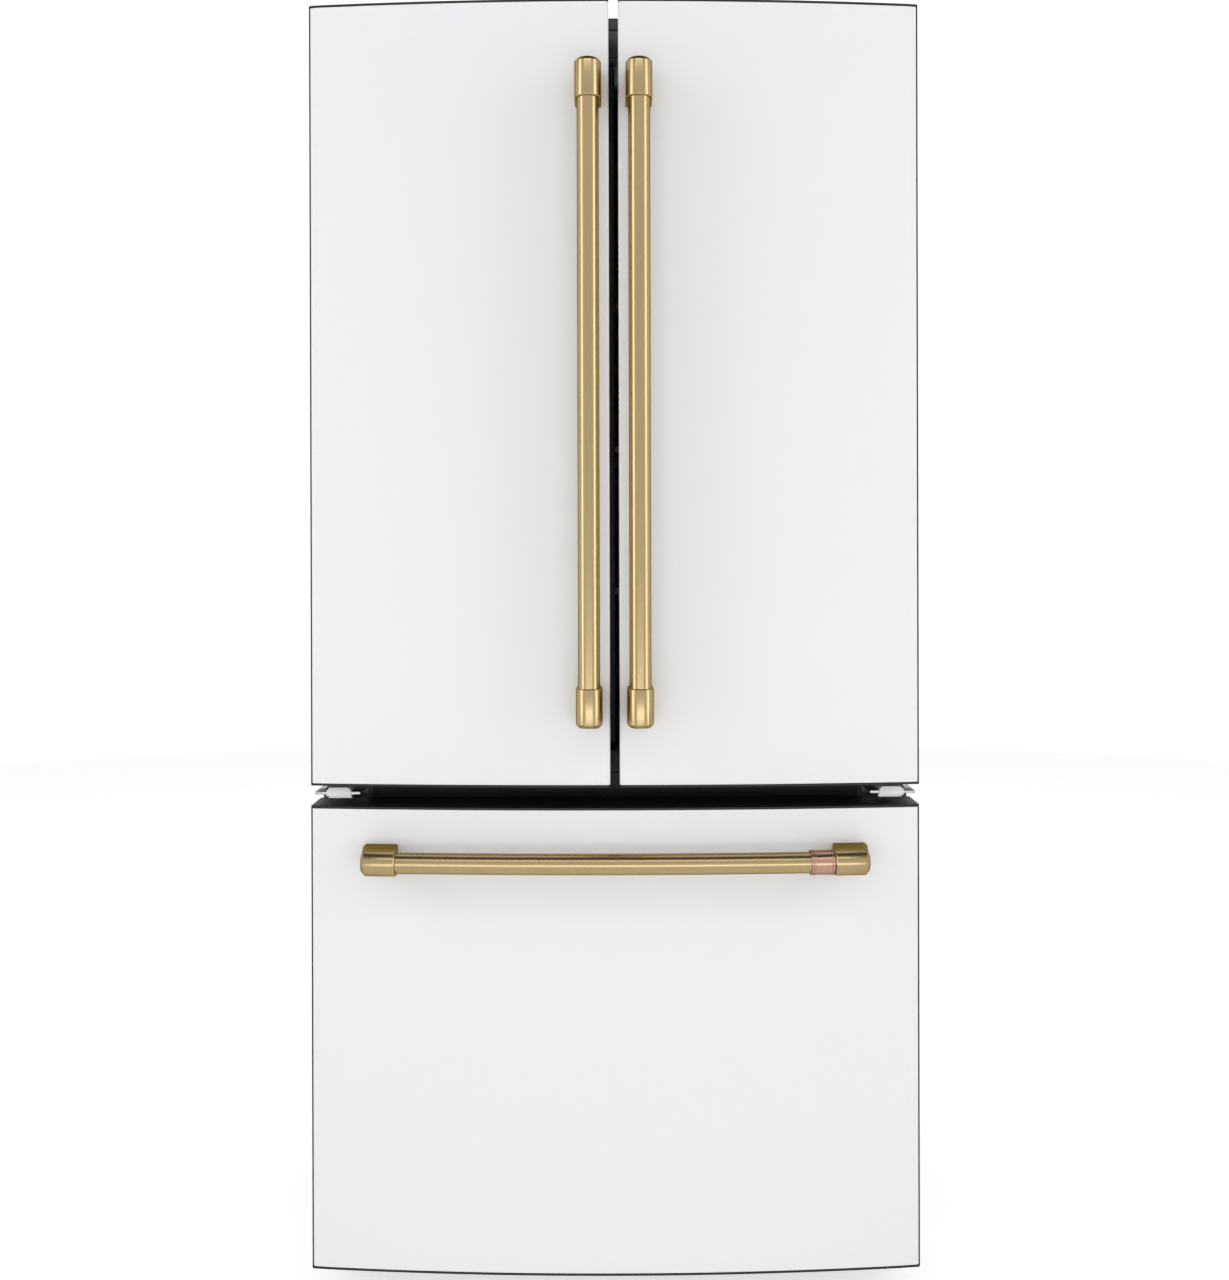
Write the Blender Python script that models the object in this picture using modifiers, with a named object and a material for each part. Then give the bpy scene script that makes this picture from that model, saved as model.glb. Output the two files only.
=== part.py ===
"""A french door refrigerator with a bottom freezer drawer.

Units are metres, +Z is up, the doors face -Y and +X is to the right of someone who faces them. The
origin is under the middle of the outer box. Every sub-part is its own closed solid; pieces that swing,
slide or turn hang under an empty that stands on their joint's axis.
"""

import math

import bmesh
import bpy
from mathutils import Matrix, Vector

# Driving dimensions. Everything below them is worked out from them.
CLEAR = 0.0003  # left between pieces that touch
WIDTH = 0.832  # across the doors
CASE_INSET = 0.0015  # case side in from the door side
CASE_DEPTH = 0.619
CASE_TOP = 1.757
CASE_BOTTOM = 0.058
SHEET = 0.002  # steel of the case and plastic of the liners
WALL = 0.050  # case, foam and liner together

DOOR_EDGE = 0.075  # thickness of a door at its outer edge
DOOR_BULGE = 0.024  # how far the middle of the front stands out before its edges
DOOR_BOTTOM = 0.698
DOOR_RISE = 0.005  # door top above the case top
DOOR_GAP = 0.0129  # between the two upper doors
DRAWER_TOP = 0.670
DRAWER_BOTTOM = 0.038
SKIN = 0.0025
SKIN_RETURN = 0.012
SKIN_CORNER = 0.005
EDGE_LIP = 0.0015  # dark edge that shows beside the white skin
CAP_EDGE = 0.002  # dark end cap that shows above and below the skin

SEAL_ROOM = 0.012  # between a door's back and the case
SEAL_WIDTH = 0.016
SEAL_INSET = 0.016  # from the door's outer edge to the seal
SEAL_DROP = 0.028  # from an upper door's top to the seal

HANDLE_REACH = 0.060  # front of a handle before the middle of the doors
HANDLE_OFFSET = 0.034  # upper handles from the middle of the refrigerator
HANDLE_FOOT = 0.0852  # lower end above the door's bottom
HANDLE_HEAD = 0.095  # upper end below the door's top
DRAWER_HANDLE_DROP = 0.0675  # axis below the drawer's top
DRAWER_HANDLE_INSET = 0.080  # ends from the drawer's sides
DRAWER_HANDLE_AHEAD = 0.0425  # axis before the crowned drawer front, all along
BAR_RADIUS = 0.0145
DRAWER_BAR_RADIUS = 0.014
CAP_STEP = 0.003  # mounts stand out round the bar
CAP_LENGTH = 0.052
DRAWER_CAP_LENGTH = 0.046
CAP_SOCKET = 0.006
CAP_CHAMFER = 0.004
RING_STEP = 0.0025  # ring stands out round the drawer's bar
RING_LENGTH = 0.0285
RING_GAP = 0.0015  # between the ring and the mount

DIVIDER_TOP = 0.730
DIVIDER_BOTTOM = 0.640
MACHINE_TOP = 0.245
MACHINE_DEPTH = 0.170
MACHINE_WALL = 0.045

HINGE_INSET = 0.014  # door axis from the door's outer side
HINGE_SETBACK = 0.051  # door axis behind the door's outer front corner
PIN_RADIUS = 0.004
PIN_SLIP = 0.0004
HINGE_PLATE = 0.004
HINGE_COVER_TOP = 0.021  # above the case top

DIKE_INNER = 0.045  # ridge on a door's inside, from the middle of the refrigerator
DIKE_DEPTH = 0.041
DIKE_SWING = 0.010  # ridge clear of the cavity wall as the door starts to swing
DIKE_WALL = 0.0155
BIN_DEPTH = 0.124
BIN_HEIGHT = 0.100
BIN_WALL = 0.003
FLAP_PIVOT = 0.036
FLAP_DEPTH = 0.014
FLAP_REACH = 0.0015  # free edge past the middle
FLAP_PIN = 0.0025

SHELF_FRONT = 0.112  # behind the case's front
SHELF_THICK = 0.012
LEDGE = 0.012
CRISPER_HEIGHT = 0.198
CRISPER_DEPTH = 0.400
CRISPER_WALL = 0.003
PANEL_HALF = 0.160
PANEL_DROP = 0.028
BUTTON_RADIUS = 0.008
BUTTON_SLIP = 0.0004

FREEZER_BIN_HEIGHT = 0.290
FREEZER_BIN_LIFT = 0.0127  # above the freezer's floor
FREEZER_BIN_WALL = 0.004
FREEZER_BIN_HALF = 0.330
TRAY_HEIGHT = 0.100
TRAY_DEPTH = 0.250
RAIL_LENGTH = 0.377
RAIL_HEIGHT = 0.040
RAIL_LEVEL = 0.195  # middle of the rails above the freezer's floor

BASE_PLATE = 0.004
LEG_X = 0.350
LEG_SETBACK = 0.044
LEG_RADIUS = 0.018
STEM_RADIUS = 0.005
ROLLER_RADIUS = 0.019
ROLLER_HALF = 0.011
ROLLER_SETBACK = 0.065
FAN_X = -0.050
FAN_RADIUS = 0.062
COMPRESSOR_X = 0.200
COMPRESSOR_RADIUS = 0.065

# Planes that follow from the driving dimensions.
CAP_RADIUS = BAR_RADIUS + CAP_STEP
RING_RADIUS = DRAWER_BAR_RADIUS + RING_STEP
HALF = WIDTH / 2
CASE_HALF = HALF - CASE_INSET
TOTAL_DEPTH = CASE_DEPTH + SEAL_ROOM + DOOR_EDGE + DOOR_BULGE + HANDLE_REACH
BACK = TOTAL_DEPTH / 2
CASE_FRONT = BACK - CASE_DEPTH
DOOR_BACK = CASE_FRONT - SEAL_ROOM
CROWN_Y = DOOR_BACK - DOOR_EDGE - DOOR_BULGE
CROWN_RADIUS = (HALF**2 + DOOR_BULGE**2) / (2 * DOOR_BULGE)
HANDLE_Y = CROWN_Y - HANDLE_REACH + CAP_RADIUS
DOOR_TOP = CASE_TOP + DOOR_RISE
HINGE_X = HALF - HINGE_INSET
HINGE_Y = DOOR_BACK - DOOR_EDGE + HINGE_SETBACK
CAVITY_HALF = CASE_HALF - WALL - CLEAR / 2
CAVITY_BACK = BACK - WALL
FRESH_TOP = CASE_TOP - WALL + 0.013
FRESH_FLOOR = DIVIDER_TOP + SHEET
FRESH_CEILING = FRESH_TOP - SHEET
FREEZER_BOTTOM = CASE_BOTTOM + WALL - 0.013
FREEZER_FLOOR = FREEZER_BOTTOM + SHEET
STEP_Y = BACK - MACHINE_DEPTH - MACHINE_WALL
STEP_Z = MACHINE_TOP + MACHINE_WALL + 0.003
FRAME_BACK = DOOR_BACK - 0.020
LINER_BACK = DOOR_BACK - CLEAR
DIKE_OUTER = CAVITY_HALF - DIKE_SWING
DIKE_LOW = FRESH_FLOOR + 0.006
DIKE_HIGH = FRESH_CEILING - 0.006
BIN_IN = DIKE_INNER + DIKE_WALL - 0.0017
BIN_OUT = DIKE_OUTER - DIKE_WALL - 0.0005
FLAP_Y = CASE_FRONT + 0.0075
CRISPER_TOP = FRESH_FLOOR + CLEAR + CRISPER_HEIGHT
CRISPER_SHELF = CRISPER_TOP + 0.022
SHELF_RISE = (FRESH_CEILING - CRISPER_SHELF) / 3.6
BIN_LEVELS = (CRISPER_SHELF + 0.035, CRISPER_SHELF + 1.66 * SHELF_RISE)
HANDLE_LOW = DOOR_BOTTOM + HANDLE_FOOT
HANDLE_HIGH = DOOR_TOP - HANDLE_HEAD
DRAWER_HANDLE_Z = DRAWER_TOP - DRAWER_HANDLE_DROP
DRAWER_HANDLE_HALF = HALF - DRAWER_HANDLE_INSET
RAIL_Z = FREEZER_FLOOR + RAIL_LEVEL
RAIL_FRONT = CASE_FRONT + 0.012
SIDES = (("left", -1), ("right", 1))

parts = None
cutters = None


# ---------------------------------------------------------------- tools
def start_scene():
    """Empty the scene and make the two collections."""
    global parts, cutters
    for old in list(bpy.data.objects):
        bpy.data.objects.remove(old, do_unlink=True)
    parts = bpy.data.collections.new("french_door_refrigerator")
    cutters = bpy.data.collections.new("cutters")
    for collection in (parts, cutters):
        bpy.context.scene.collection.children.link(collection)


def finish_of(name, color, roughness, metallic=0.0, transmission=0.0):
    """Return the named Principled material, made once."""
    made = bpy.data.materials.get(name)
    if made:
        return made
    made = bpy.data.materials.new(name)
    made.use_nodes = True
    shader = made.node_tree.nodes["Principled BSDF"]
    shader.inputs["Base Color"].default_value = (*color, 1.0)
    shader.inputs["Roughness"].default_value = roughness
    shader.inputs["Metallic"].default_value = metallic
    shader.inputs["Transmission Weight"].default_value = transmission
    return made


def object_of(name, bm):
    """Turn a bmesh into an object among the parts."""
    mesh = bpy.data.meshes.new(name)
    bm.to_mesh(mesh)
    bm.free()
    thing = bpy.data.objects.new(name, mesh)
    parts.objects.link(thing)
    return thing


def boxes(name, corners):
    """Make one object out of boxes, each given by two opposite corners."""
    bm = bmesh.new()
    for first, second in corners:
        low = Vector([min(a, b) for a, b in zip(first, second)])
        high = Vector([max(a, b) for a, b in zip(first, second)])
        place = Matrix.Translation((low + high) / 2) @ Matrix.Diagonal((*(high - low), 1.0))
        bmesh.ops.create_cube(bm, size=1.0, matrix=place)
    return object_of(name, bm)


def box(name, first, second):
    """Make a box between two opposite corners."""
    return boxes(name, [(first, second)])


def rod(name, start, end, radius, sides=24):
    """Make a round bar between two points."""
    start, end = Vector(start), Vector(end)
    turn = (end - start).to_track_quat("Z", "Y").to_matrix().to_4x4()
    bm = bmesh.new()
    bmesh.ops.create_cone(
        bm,
        cap_ends=True,
        segments=sides,
        radius1=radius,
        radius2=radius,
        depth=(end - start).length,
        matrix=Matrix.Translation((start + end) / 2) @ turn,
    )
    thing = object_of(name, bm)
    thing.data.shade_smooth()
    thing.data.set_sharp_from_angle(angle=math.radians(40))
    return thing


def slab(name, outline, low, high):
    """Extrude a closed outline of X, Y points between two heights."""
    curve = bpy.data.curves.new(name, "CURVE")
    curve.dimensions = "2D"
    curve.fill_mode = "BOTH"
    curve.extrude = (high - low) / 2
    spline = curve.splines.new("POLY")
    spline.points.add(len(outline) - 1)
    for point, (x, y) in zip(spline.points, outline):
        point.co = (x, y, 0.0, 1.0)
    spline.use_cyclic_u = True
    guide = bpy.data.objects.new(name + "_outline", curve)
    guide.location.z = (low + high) / 2
    cutters.objects.link(guide)
    bpy.context.view_layer.update()
    mesh = bpy.data.meshes.new_from_object(guide.evaluated_get(bpy.context.evaluated_depsgraph_get()))
    bm = bmesh.new()
    bm.from_mesh(mesh)
    bmesh.ops.remove_doubles(bm, verts=bm.verts, dist=0.00002)
    bmesh.ops.transform(bm, matrix=guide.matrix_world, verts=bm.verts)
    bmesh.ops.recalc_face_normals(bm, faces=bm.faces)
    bpy.data.objects.remove(guide, do_unlink=True)
    bpy.data.meshes.remove(mesh)
    return object_of(name, bm)


def turned(name, profile, centre, steps=24):
    """Turn a profile of radius, height points about a vertical axis through centre."""
    bm = bmesh.new()
    points = [bm.verts.new((radius, 0.0, height)) for radius, height in profile]
    for upper, lower in zip(points, points[1:]):
        bm.edges.new((upper, lower))
    thing = object_of(name, bm)
    thing.location = centre
    screw = thing.modifiers.new("turn", "SCREW")
    screw.steps = steps
    screw.render_steps = steps
    screw.use_merge_vertices = True
    screw.merge_threshold = 0.00005
    return thing


def combine(target, tool, operation):
    """Cut a tool out of the target, or join it on, and hide the tool."""
    parts.objects.unlink(tool)
    cutters.objects.link(tool)
    tool.hide_render = True
    tool.display_type = "WIRE"
    change = target.modifiers.new(operation.lower(), "BOOLEAN")
    change.operation = operation
    change.solver = "EXACT"
    change.object = tool
    return target


def cut(target, tool):
    return combine(target, tool, "DIFFERENCE")


def join(target, tool):
    return combine(target, tool, "UNION")


def chamfer(thing, width):
    """Break the sharp rims of a piece."""
    bevel = thing.modifiers.new("chamfer", "BEVEL")
    bevel.width = width
    bevel.segments = 1
    bevel.limit_method = "ANGLE"
    bevel.angle_limit = math.radians(60)
    return thing


def hollow(name, first, second, wall, mouth):
    """Make a box shell that is open on one side: mouth is an axis number and a sign."""
    shell = box(name, first, second)
    axis, sign = mouth
    low = [min(a, b) + wall for a, b in zip(first, second)]
    high = [max(a, b) - wall for a, b in zip(first, second)]
    if sign > 0:
        high[axis] += 3 * wall
    else:
        low[axis] -= 3 * wall
    return cut(shell, box(name + "_inside", low, high))


def ring_plate(name, x_span, z_span, width, y_span):
    """Make a flat rectangular ring that stands in the XZ plane."""
    (x0, x1), (z0, z1), (y0, y1) = x_span, z_span, y_span
    x0, x1 = sorted((x0, x1))
    ring = box(name, (x0, y0, z0), (x1, y1, z1))
    hole = box(name + "_hole", (x0 + width, y0 - 1e-3, z0 + width), (x1 - width, y1 + 1e-3, z1 - width))
    return cut(ring, hole)


def axis_at(name, place):
    """Stand an empty on a joint's axis."""
    empty = bpy.data.objects.new(name, None)
    empty.location = place
    empty.empty_display_size = 0.03
    parts.objects.link(empty)
    return empty


def dress(thing, finish, axis=None):
    """Give a piece its material, and hang it under its axis."""
    thing.data.materials.clear()
    thing.data.materials.append(finish_of(*finish))
    if axis:
        thing.parent = axis
        thing.location = thing.location - axis.location
    return thing


# ---------------------------------------------------------------- finishes
WHITE_STEEL = ("white_steel", (0.86, 0.86, 0.86), 0.45)
WHITE_PLASTIC = ("white_plastic", (0.84, 0.85, 0.86), 0.35)
SLATE_STEEL = ("slate_steel", (0.042, 0.05, 0.052), 0.5)
DARK_PLASTIC = ("dark_plastic", (0.03, 0.031, 0.033), 0.5)
BLACK_RUBBER = ("black_rubber", (0.01, 0.01, 0.01), 0.7)
GREY_RUBBER = ("grey_rubber", (0.16, 0.165, 0.17), 0.65)
BRASS = ("brushed_brass", (0.44, 0.33, 0.16), 0.32, 1.0)
COPPER = ("copper", (0.62, 0.36, 0.24), 0.3, 1.0)
ZINC_STEEL = ("zinc_steel", (0.55, 0.55, 0.55), 0.35, 1.0)
BLACK_STEEL = ("black_steel", (0.02, 0.02, 0.02), 0.45)
CLEAR_PLASTIC = ("clear_plastic", (0.85, 0.9, 0.92), 0.12, 0.0, 0.8)
GLASS = ("shelf_glass", (0.8, 0.9, 0.88), 0.05, 0.0, 0.9)
FOAM = ("foam", (0.75, 0.66, 0.42), 0.9)


# ---------------------------------------------------------------- crowned fronts
def crown(x):
    """Return the Y of the crowned front at a distance from the middle."""
    return CROWN_Y + CROWN_RADIUS - math.sqrt(CROWN_RADIUS**2 - x**2)


def quarter(centre, radius, first_degrees, steps=3):
    """Return the points of a quarter circle, anticlockwise."""
    angles = [math.radians(first_degrees + 90 * i / steps) for i in range(steps + 1)]
    return [(centre[0] + radius * math.cos(a), centre[1] + radius * math.sin(a)) for a in angles]


def crowned_path(x_from, x_to, inset, radius, steps=10):
    """Return a front line with two round corners, set in from the crown."""
    run = [x_from + radius + (x_to - x_from - 2 * radius) * i / steps for i in range(1, steps)]
    left = quarter((x_from + radius, crown(x_from) + inset + radius), radius, 180)
    right = quarter((x_to - radius, crown(x_to) + inset + radius), radius, 270)
    return left + [(x, crown(x) + inset) for x in run] + right


def skin_outline(x_in, x_out):
    """Outline of a pressed skin: its outer face, then back along its inner face."""
    outer = crowned_path(x_in, x_out, 0.0, SKIN_CORNER)
    inner = crowned_path(x_in + SKIN, x_out - SKIN, SKIN, SKIN_CORNER - SKIN)
    ends_in = crown(x_in) + SKIN_RETURN
    ends_out = crown(x_out) + SKIN_RETURN
    outer = [(x_in, ends_in)] + outer + [(x_out, ends_out)]
    inner = [(x_in + SKIN, ends_in)] + inner + [(x_out - SKIN, ends_out)]
    return outer + inner[::-1]


def recess_outline(x_in, x_out):
    """Outline of the room that a skin takes out of its frame."""
    ends_in = crown(x_in) + SKIN_RETURN + CLEAR
    ends_out = crown(x_out) + SKIN_RETURN + CLEAR
    ahead = CROWN_Y - 0.010
    wide = x_in - 0.004 if x_in > 0 else x_in - CLEAR
    inner = crowned_path(x_in + SKIN + CLEAR, x_out - SKIN - CLEAR, SKIN + CLEAR, SKIN_CORNER - SKIN)
    inner = [(x_in + SKIN + CLEAR, ends_in)] + inner + [(x_out - SKIN - CLEAR, ends_out)]
    outer = [(wide, ends_in), (wide, ahead), (x_out + CLEAR, ahead), (x_out + CLEAR, ends_out)]
    return outer + inner[::-1]


def frame_outline(x_in, x_out, back):
    """Outline of the body behind a skin."""
    return [(x_in, back)] + crowned_path(x_in, x_out, 0.0, SKIN_CORNER) + [(x_out, back)]


def mirrored(outline, side):
    """Put an outline on one side of the refrigerator."""
    return [(side * x, y) for x, y in outline]


def front_pieces(name, side, x_in, x_out, low, high, back, axis):
    """Make a door's or the drawer's skin and the dark frame with end caps behind it."""
    x_skin = x_in if x_in > 0 else -(x_out - EDGE_LIP - CLEAR)
    x_frame = x_in + 0.0016 if x_in > 0 else -x_out
    skin_end = x_out - EDGE_LIP - CLEAR
    skin = slab(name + "_panel", mirrored(skin_outline(x_skin, skin_end), side), low + CAP_EDGE, high - CAP_EDGE)
    frame = slab(name + "_frame", mirrored(frame_outline(x_frame, x_out, back), side), low, high)
    room = mirrored(recess_outline(x_skin, skin_end), side)
    cut(frame, slab(name + "_recess", room, low + CAP_EDGE - CLEAR, high - CAP_EDGE + CLEAR))
    dress(skin, WHITE_STEEL, axis)
    dress(frame, DARK_PLASTIC, axis)
    return frame


# ---------------------------------------------------------------- handles
def handle_mount(name, far, near, bar_radius, axis):
    """Make an end cap with a post back to the door.

    far is the centre of the cap's outer end, and near the centre of the end that holds the bar.
    """
    far, near = Vector(far), Vector(near)
    along = (near - far).normalized()
    across = Vector((0.0, 0.0, 1.0)).cross(along) if abs(along.z) < 0.5 else Vector((1.0, 0.0, 0.0))
    cap = chamfer(rod(name, far, near, CAP_RADIUS), CAP_CHAMFER)
    if abs(along.z) < 0.5:
        outline = [far + along * CAP_CHAMFER, near - along * CAP_CHAMFER]
        front = [(point.x, point.y) for point in outline]
        behind = [(x, crown(x) - CLEAR) for x, y in reversed(front)]
        half = CAP_RADIUS - CLEAR
        post = slab(name + "_post", front + behind, far.z - half, far.z + half)
    else:
        half = across * (CAP_RADIUS - CLEAR)
        surface = min(crown(abs(far.x) - half.x), crown(abs(far.x) + half.x)) - CLEAR
        start = far + along * CAP_CHAMFER - half
        end = near - along * CAP_CHAMFER + half
        post = box(name + "_post", start, (end.x, surface, end.z))
    join(cap, post)
    cut(cap, rod(name + "_socket", near - along * CAP_SOCKET, near + along * 0.004, bar_radius + CLEAR))
    return dress(cap, BRASS, axis)


def upright_handle(word, side, axis):
    """Straight bar of an upper door, with a mount at each end."""
    x = side * HANDLE_OFFSET
    tuck = CAP_LENGTH - CAP_SOCKET + CLEAR
    low, high = Vector((x, HANDLE_Y, HANDLE_LOW)), Vector((x, HANDLE_Y, HANDLE_HIGH))
    lift = Vector((0.0, 0.0, 1.0))
    dress(rod(word + "_handle_bar", low + lift * tuck, high - lift * tuck, BAR_RADIUS), BRASS, axis)
    handle_mount(word + "_handle_bottom_mount", low, low + lift * CAP_LENGTH, BAR_RADIUS, axis)
    handle_mount(word + "_handle_top_mount", high, high - lift * CAP_LENGTH, BAR_RADIUS, axis)


def drawer_line(x):
    """Return the point of the drawer handle's bowed axis at a distance from the middle."""
    return Vector((x, crown(x) - DRAWER_HANDLE_AHEAD, DRAWER_HANDLE_Z))


def bowed_tube(name, x_from, x_to, radius, steps=16):
    """Make a round tube along the drawer handle's axis."""
    curve = bpy.data.curves.new(name, "CURVE")
    curve.dimensions = "3D"
    curve.bevel_depth = radius
    curve.bevel_resolution = 4
    curve.use_fill_caps = True
    spline = curve.splines.new("POLY")
    spline.points.add(steps)
    for i, point in enumerate(spline.points):
        point.co = (*drawer_line(x_from + (x_to - x_from) * i / steps), 1.0)
    guide = bpy.data.objects.new(name + "_line", curve)
    cutters.objects.link(guide)
    bpy.context.view_layer.update()
    mesh = bpy.data.meshes.new_from_object(guide.evaluated_get(bpy.context.evaluated_depsgraph_get()))
    bm = bmesh.new()
    bm.from_mesh(mesh)
    bmesh.ops.remove_doubles(bm, verts=bm.verts, dist=0.00002)
    bpy.data.objects.remove(guide, do_unlink=True)
    bpy.data.meshes.remove(mesh)
    return object_of(name, bm)


def drawer_handle(axis):
    """Bowed bar of the drawer, with a mount at each end and a copper ring beside the right one."""
    near = DRAWER_HANDLE_HALF - DRAWER_CAP_LENGTH
    tip = near + CAP_SOCKET - CLEAR
    dress(bowed_tube("drawer_handle_bar", -tip, tip, DRAWER_BAR_RADIUS), BRASS, axis)
    for word, side in SIDES:
        inner = drawer_line(side * near)
        along = (drawer_line(side * (near - 0.004)) - drawer_line(side * (near + 0.004))).normalized()
        outer = inner - along * DRAWER_CAP_LENGTH
        handle_mount("drawer_handle_" + word + "_mount", outer, inner, DRAWER_BAR_RADIUS, axis)
    ring_end = near - RING_GAP
    ring = rod(
        "drawer_handle_ring", drawer_line(ring_end - RING_LENGTH), drawer_line(ring_end), RING_RADIUS
    )
    bore = bowed_tube("ring_bore", ring_end - RING_LENGTH - 0.01, ring_end + 0.01, DRAWER_BAR_RADIUS + CLEAR, 6)
    dress(cut(ring, bore), COPPER, axis)


# ---------------------------------------------------------------- cabinet
def outer_case():
    """Folded steel wrapper: two sides, a top, and a front flange with two openings."""
    side = CASE_HALF
    case = box("outer_case", (-side, CASE_FRONT, CASE_BOTTOM), (side, BACK, CASE_TOP))
    room_low = (-side + SHEET, CASE_FRONT + SHEET, CASE_BOTTOM - 0.01)
    cut(case, box("case_room", room_low, (side - SHEET, BACK + 0.01, CASE_TOP - SHEET)))
    x, y0, y1 = CAVITY_HALF, CASE_FRONT - 0.01, CASE_FRONT + 0.01
    mouths = [
        ((-x, y0, FRESH_FLOOR), (x, y1, FRESH_CEILING)),
        ((-x, y0, FREEZER_FLOOR), (x, y1, DIVIDER_BOTTOM - SHEET)),
    ]
    cut(case, boxes("case_mouths", mouths))
    dress(case, SLATE_STEEL)


def cabinet_foam():
    """Insulation that fills the room between the case, the liners and the machine room."""
    x = CASE_HALF - SHEET - CLEAR
    y0, y1 = CASE_FRONT + SHEET + CLEAR, BACK - SHEET - CLEAR
    foam = box("cabinet_foam", (-x, y0, CASE_BOTTOM + CLEAR), (x, y1, CASE_TOP - SHEET - CLEAR))
    hole = CAVITY_HALF + SHEET + CLEAR
    back = CAVITY_BACK + CLEAR
    ahead = y0 - 0.01
    cut(foam, box("fresh_hole", (-hole, ahead, DIVIDER_TOP - CLEAR), (hole, back, FRESH_TOP + CLEAR)))
    cut(foam, box("freezer_hole", (-hole, ahead, STEP_Z - CLEAR), (hole, back, DIVIDER_BOTTOM + CLEAR)))
    low = FREEZER_BOTTOM - CLEAR
    cut(foam, box("freezer_low_hole", (-hole, ahead, low), (hole, STEP_Y + CLEAR, STEP_Z + 0.01)))
    machine_y = BACK - MACHINE_DEPTH - CLEAR
    cut(foam, box("machine_hole", (-x - 0.01, machine_y, 0.0), (x + 0.01, BACK, MACHINE_TOP + CLEAR)))
    dress(foam, FOAM)


def shelf_levels():
    """Return the undersides of the upper and lower glass shelves."""
    return {"shelf_upper": CRISPER_SHELF + 2 * SHELF_RISE, "shelf_lower": CRISPER_SHELF + SHELF_RISE}


def fresh_food_liner():
    """Thermoformed inner box of the upper room, with ledges that carry the shelves."""
    x, y0 = CAVITY_HALF + SHEET, CASE_FRONT + SHEET + CLEAR
    liner = hollow("fresh_food_liner", (-x, y0, DIVIDER_TOP), (x, CAVITY_BACK, FRESH_TOP), SHEET, (1, -1))
    levels = list(shelf_levels().values()) + [CRISPER_SHELF]
    front = CASE_FRONT + SHELF_FRONT + 0.02
    ledges = []
    for level in levels:
        for side in (-1, 1):
            top = level - CLEAR
            low = (side * (CAVITY_HALF - LEDGE), front, top - 0.008)
            ledges.append((low, (side * (CAVITY_HALF + SHEET / 2), CAVITY_BACK - 0.03, top)))
    dress(join(liner, boxes("shelf_ledges", ledges)), WHITE_PLASTIC)


def freezer_liner():
    """Inner box of the freezer, stepped over the machine room."""
    x, y0 = CAVITY_HALF + SHEET, CASE_FRONT + SHEET + CLEAR
    y1, z1 = CAVITY_BACK, DIVIDER_BOTTOM
    liner = box("freezer_liner", (-x, y0, STEP_Z), (x, y1, z1))
    join(liner, box("freezer_lower", (-x, y0, FREEZER_BOTTOM), (x, STEP_Y, STEP_Z + 0.02)))
    x, y1, z1 = x - SHEET, y1 - SHEET, z1 - SHEET
    cut(liner, box("freezer_room", (-x, y0 - 0.01, STEP_Z + SHEET), (x, y1, z1)))
    low = (-x, y0 - 0.01, FREEZER_FLOOR)
    cut(liner, box("freezer_low_room", low, (x, STEP_Y - SHEET, STEP_Z + 0.03)))
    dress(liner, WHITE_PLASTIC)


def rear_panel():
    """Painted sheet that closes the back above the machine room."""
    x = CASE_HALF - SHEET - CLEAR
    low = (-x, BACK - SHEET, MACHINE_TOP + CLEAR)
    dress(box("rear_panel", low, (x, BACK, CASE_TOP - SHEET - CLEAR)), SLATE_STEEL)


def machine_cover():
    """Louvred cover over the machine room, with the gland of the supply lead."""
    x = CASE_HALF - SHEET - CLEAR
    z0, z1 = CASE_BOTTOM + CLEAR, MACHINE_TOP - CLEAR
    cover = box("machine_cover", (-x, BACK - SHEET, z0), (x, BACK, z1))
    gland = (-x + 0.05, (z0 + z1) / 2)
    join(cover, rod("gland_boss", (gland[0], BACK - 0.010, gland[1]), (gland[0], BACK, gland[1]), 0.011, 16))
    cut(cover, rod("gland_hole", (gland[0], BACK - 0.02, gland[1]), (gland[0], BACK + 0.01, gland[1]), 0.004, 12))
    slots = []
    for group in (-1, 1):
        for row in range(5):
            middle = group * 0.18 + 0.03
            z = z0 + 0.035 + row * 0.024
            slots.append(((middle - 0.08, BACK - 0.01, z), (middle + 0.08, BACK + 0.01, z + 0.007)))
    dress(cut(cover, boxes("louvres", slots)), BLACK_STEEL)


def roller_place(side):
    """Return the centre of a rear roller."""
    return Vector((side * LEG_X, BACK - ROLLER_SETBACK, ROLLER_RADIUS))


def fan_centre():
    """Return the middle of the condenser fan's hub."""
    return Vector((FAN_X, BACK - MACHINE_DEPTH / 2, (CASE_BOTTOM + MACHINE_TOP) / 2))


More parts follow.
